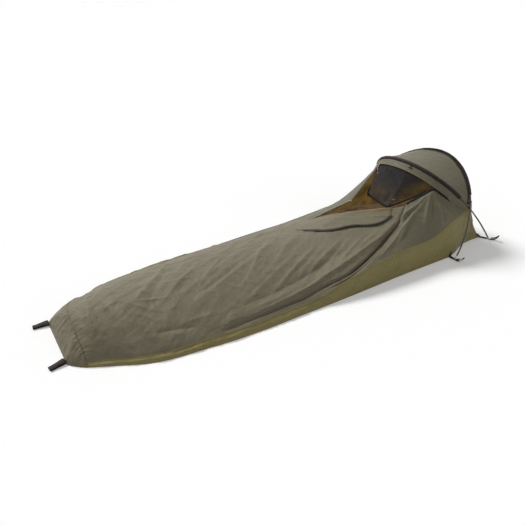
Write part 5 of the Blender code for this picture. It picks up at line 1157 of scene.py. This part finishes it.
def webbing_piece(name, node, path, across, width, body="shell", closed=False, root=None, eyelet=None):
    """Tape along a path; root is the stretch that is box stitched, eyelet the middle of a hole."""
    fine = eased(list(path) + [path[0]] if closed else path, 4)
    across = unit(across)
    up = unit(np.cross(unit(np.gradient(fine, axis=0)), across))
    if closed:
        fine, up = fine[:-1], up[:-1]
    half, t = width / 2, WEBBING_THICKNESS / 2
    outline = np.array([(-half, 0), (-half * 0.96, -t), (0, -t * 1.08), (half * 0.96, -t), (half, 0),
                        (half * 0.96, t), (0, t * 1.08), (-half * 0.96, t)])
    parts = strip(fine, np.broadcast_to(across, fine.shape), up, outline, outline[:, 0], closed)
    obj = pieces_mesh(name, *parts, WEBBING_FINISH)
    if eyelet is not None:
        cutter = ring_hole(eyelet, EYELET_RADIUS)
        hole = obj.modifiers.new("hole", "BOOLEAN")
        hole.object, hole.operation, hole.solver = cutter, "DIFFERENCE", "EXACT"
        with bpy.context.temp_override(object=obj, active_object=obj, selected_objects=[obj]):
            bpy.ops.object.modifier_apply(modifier=hole.name)
        bpy.data.objects.remove(cutter, do_unlink=True)
    seated(obj, body, node)
    if root is not None:
        sewn = joined(box_stitch(root, across, width))
        seated(pieces_mesh(name + "_stitching", *sewn, THREAD_FINISH), body)


def webbing_loop(name, node, pivot, way, size, width):
    """Teardrop loop that turns about its pivot and can lift at its tip."""
    length, root, tip, curl = size
    drop = [(root * math.cos(a), root * math.sin(a)) for a in np.linspace(math.pi / 2, 1.5 * math.pi, 7)]
    drop += [(length * 0.35, -root), (length * 0.7, -root)]
    drop += [(length + tip * math.cos(a), tip - root + tip * math.sin(a))
             for a in np.linspace(-math.pi / 2, math.pi / 2, 7)]
    drop += [(length * 0.66, 2 * tip - root + 0.0016), (length * 0.33, tip + 0.0010)]
    path = [pivot + way * a + point(0, 0, b + curl * max(a / length, 0) ** 2) for a, b in drop]
    webbing_piece(name, node, path, np.cross(way, (0, 0, 1)), width, body=node, closed=True)


def loop_seat(size, under):
    """Height of a loop's pivot and its distance from the edge that it hangs on."""
    outer = size[1] + WEBBING_THICKNESS / 2
    height = LOOP_GAP + outer
    return height, LOOP_GAP + math.sqrt(outer ** 2 - (height - under) ** 2)


def node_center(name):
    low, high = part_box(name)
    return np.array((low + high) / 2) - (FOOT_X, 0, 0)


head_line = head_edge(-1)
CORNERS = {"shoulder": (point(SHOULDER_X, -half_width(SHOULDER_X), 0), seam_point(SHOULDER_X, -1), REAR_HOOP),
           "head": (head_line[-1], head_line[-2], FRONT_HOOP)}
for side_word, side in (("near", -1), ("far", 1)):
    for word, (base, higher, hoop) in CORNERS.items():
        label = side_word + "_" + word
        base, higher, foot = (side_of(p, side) for p in (base, higher, hoop_point(hoop, 0.0)))
        ground, foot = base * (1, 1, 0), foot * (1, 1, 0)
        way = unit((foot - base) * (1, 1, 0))
        tab_top = base + unit(higher - base) * TAB_HEIGHT + way * STANDOFF
        tab_low = ground + way * STANDOFF + point(0, 0, 3 * STRAP_MIDDLE)
        run = ground + point(0, 0, STRAP_MIDDLE) + way * (STANDOFF + 2 * WEBBING_THICKNESS)
        end = foot + point(0, 0, STRAP_MIDDLE) + way * STRAP_END
        path = [tab_top, lerp(tab_top, tab_low, 0.5), tab_low, run, lerp(run, end, 0.5), end]
        webbing_piece(label + "_webbing", label + "_strap", path, np.cross(way, (0, 0, 1)), STRAP_WIDTH,
                      root=[tab_top, lerp(tab_top, tab_low, 0.75)], eyelet=node_center(label + "_grommet"))
        height, away = loop_seat(PEG_LOOP, STRAP_MIDDLE + WEBBING_THICKNESS / 2)
        pivot = foot + point(0, 0, height) + way * (STRAP_END + away)
        webbing_loop(label + "_loop_webbing", label + "_peg_loop", pivot, way, PEG_LOOP, PEG_LOOP_WIDTH)
for word, side, splay, inset in (("near", -1, 12.0, 0.016), ("far", 1, 4.0, 0.008)):
    angle = math.radians(splay)
    height, away = loop_seat(FOOT_LOOP, FLOOR_TOP)
    pivot = point(-(away + math.sin(angle) * FOOT_LOOP_WIDTH / 2), side * (half_width(0.0) - inset), height)
    webbing_loop(word + "_foot_webbing", word + "_foot_loop", pivot,
                 point(-math.cos(angle), side * math.sin(angle), 0), FOOT_LOOP, FOOT_LOOP_WIDTH)

# Toggle loop: a short flat tape doubled round the waist of the toggle, with both ends sewn
# into the brow's seam, so that the toggle can swing.
TOGGLE_LOOP_RADIUS, TOGGLE_LOOP_WIDTH, TOGGLE_SEAT = 0.0032, 0.0048, 0.001

waist = node_center("door_toggle")
node = NODES["toggle_loop"]
places = np.array([node.matrix_world @ v.co for v in node.data.vertices]) - (FOOT_X, 0, 0)
reach = np.linalg.norm((places - waist)[:, [0, 2]], axis=1)
seat = places[reach > 0.85 * reach.max()].mean(axis=0)
seat[1] = waist[1]
down = unit(waist - seat)
aside = np.cross((0, 1, 0), down)
ring = [waist + (down * math.cos(a) + aside * math.sin(a)) * TOGGLE_LOOP_RADIUS
        for a in np.radians(np.linspace(-135, 135, 10))]
ring += [seat + aside * TOGGLE_SEAT, seat - aside * TOGGLE_SEAT]
webbing_piece("toggle_tape_loop", "toggle_loop", ring, (0, 1, 0), TOGGLE_LOOP_WIDTH, body="toggle",
              closed=True)

# Poles and small hardware keep their own shapes. The poles are anodised tubes with fine
# drawing marks, the eyelets, tips, sliders and pulls are nickel plated, the hooks and the
# toggle are moulded, and the elastic cord inside the poles is braided.


def metal_finish(name, color, roughness, stretch, wear):
    """Drawn or plated metal: fine marks, slow changes of polish and paler worn places."""
    mat, tree = with_nodes(bpy.data.materials.new(name))
    place = add_node(tree, "TexCoord").outputs["Object"]
    drawn = add_node(tree, "VectorMath", {0: place, 1: stretch}, operation="MULTIPLY").outputs[0]
    marks, patches = noise_node(tree, drawn, 60.0, 5.0), noise_node(tree, place, 24.0, 3.0)
    worn = calc(tree, "MULTIPLY", calc(tree, "GREATER_THAN", patches, 0.68), wear)
    paler = tuple(min(1.0, c * 2.2 + 0.08) for c in color)
    return shade(mat, {"Base Color": mix_colors(tree, worn, color, paler), "Metallic": 1.0,
                       "Roughness": calc(tree, "ADD", roughness - 0.1, calc(tree, "MULTIPLY", marks, 0.22)),
                       "Normal": bump(tree, marks, 0.00002)})


NICKEL = metal_finish("nickel_plate", (0.50, 0.49, 0.47), 0.28, (3, 3, 3), 0.3)
MOULDED = plastic_finish("moulded_nylon", (0.016, 0.016, 0.017), 0.42)
HARDWARE = {
    "pole_section": metal_finish("anodised_tube", (0.085, 0.075, 0.078), 0.36, (1, 1, 9), 0.15),
    "pole_insert": metal_finish("insert_tube", (0.55, 0.55, 0.56), 0.36, (1, 1, 9), 0.2),
    "pole_tip": NICKEL, "grommet": NICKEL, "slider": NICKEL, "pull": NICKEL,
    "crossing_hook": MOULDED, "door_toggle": MOULDED,
    "shock_cord": cloth_finish("braided_cord", (0.030, 0.030, 0.032), 0.7, 2400.0, 0.0003, 300.0, 0.0002),
}
for word, finish in HARDWARE.items():
    for obj in (NODES[name] for name in NODES if word in name and not NODES[name].hide_render):
        for part in obj.material_slots:
            part.material = finish
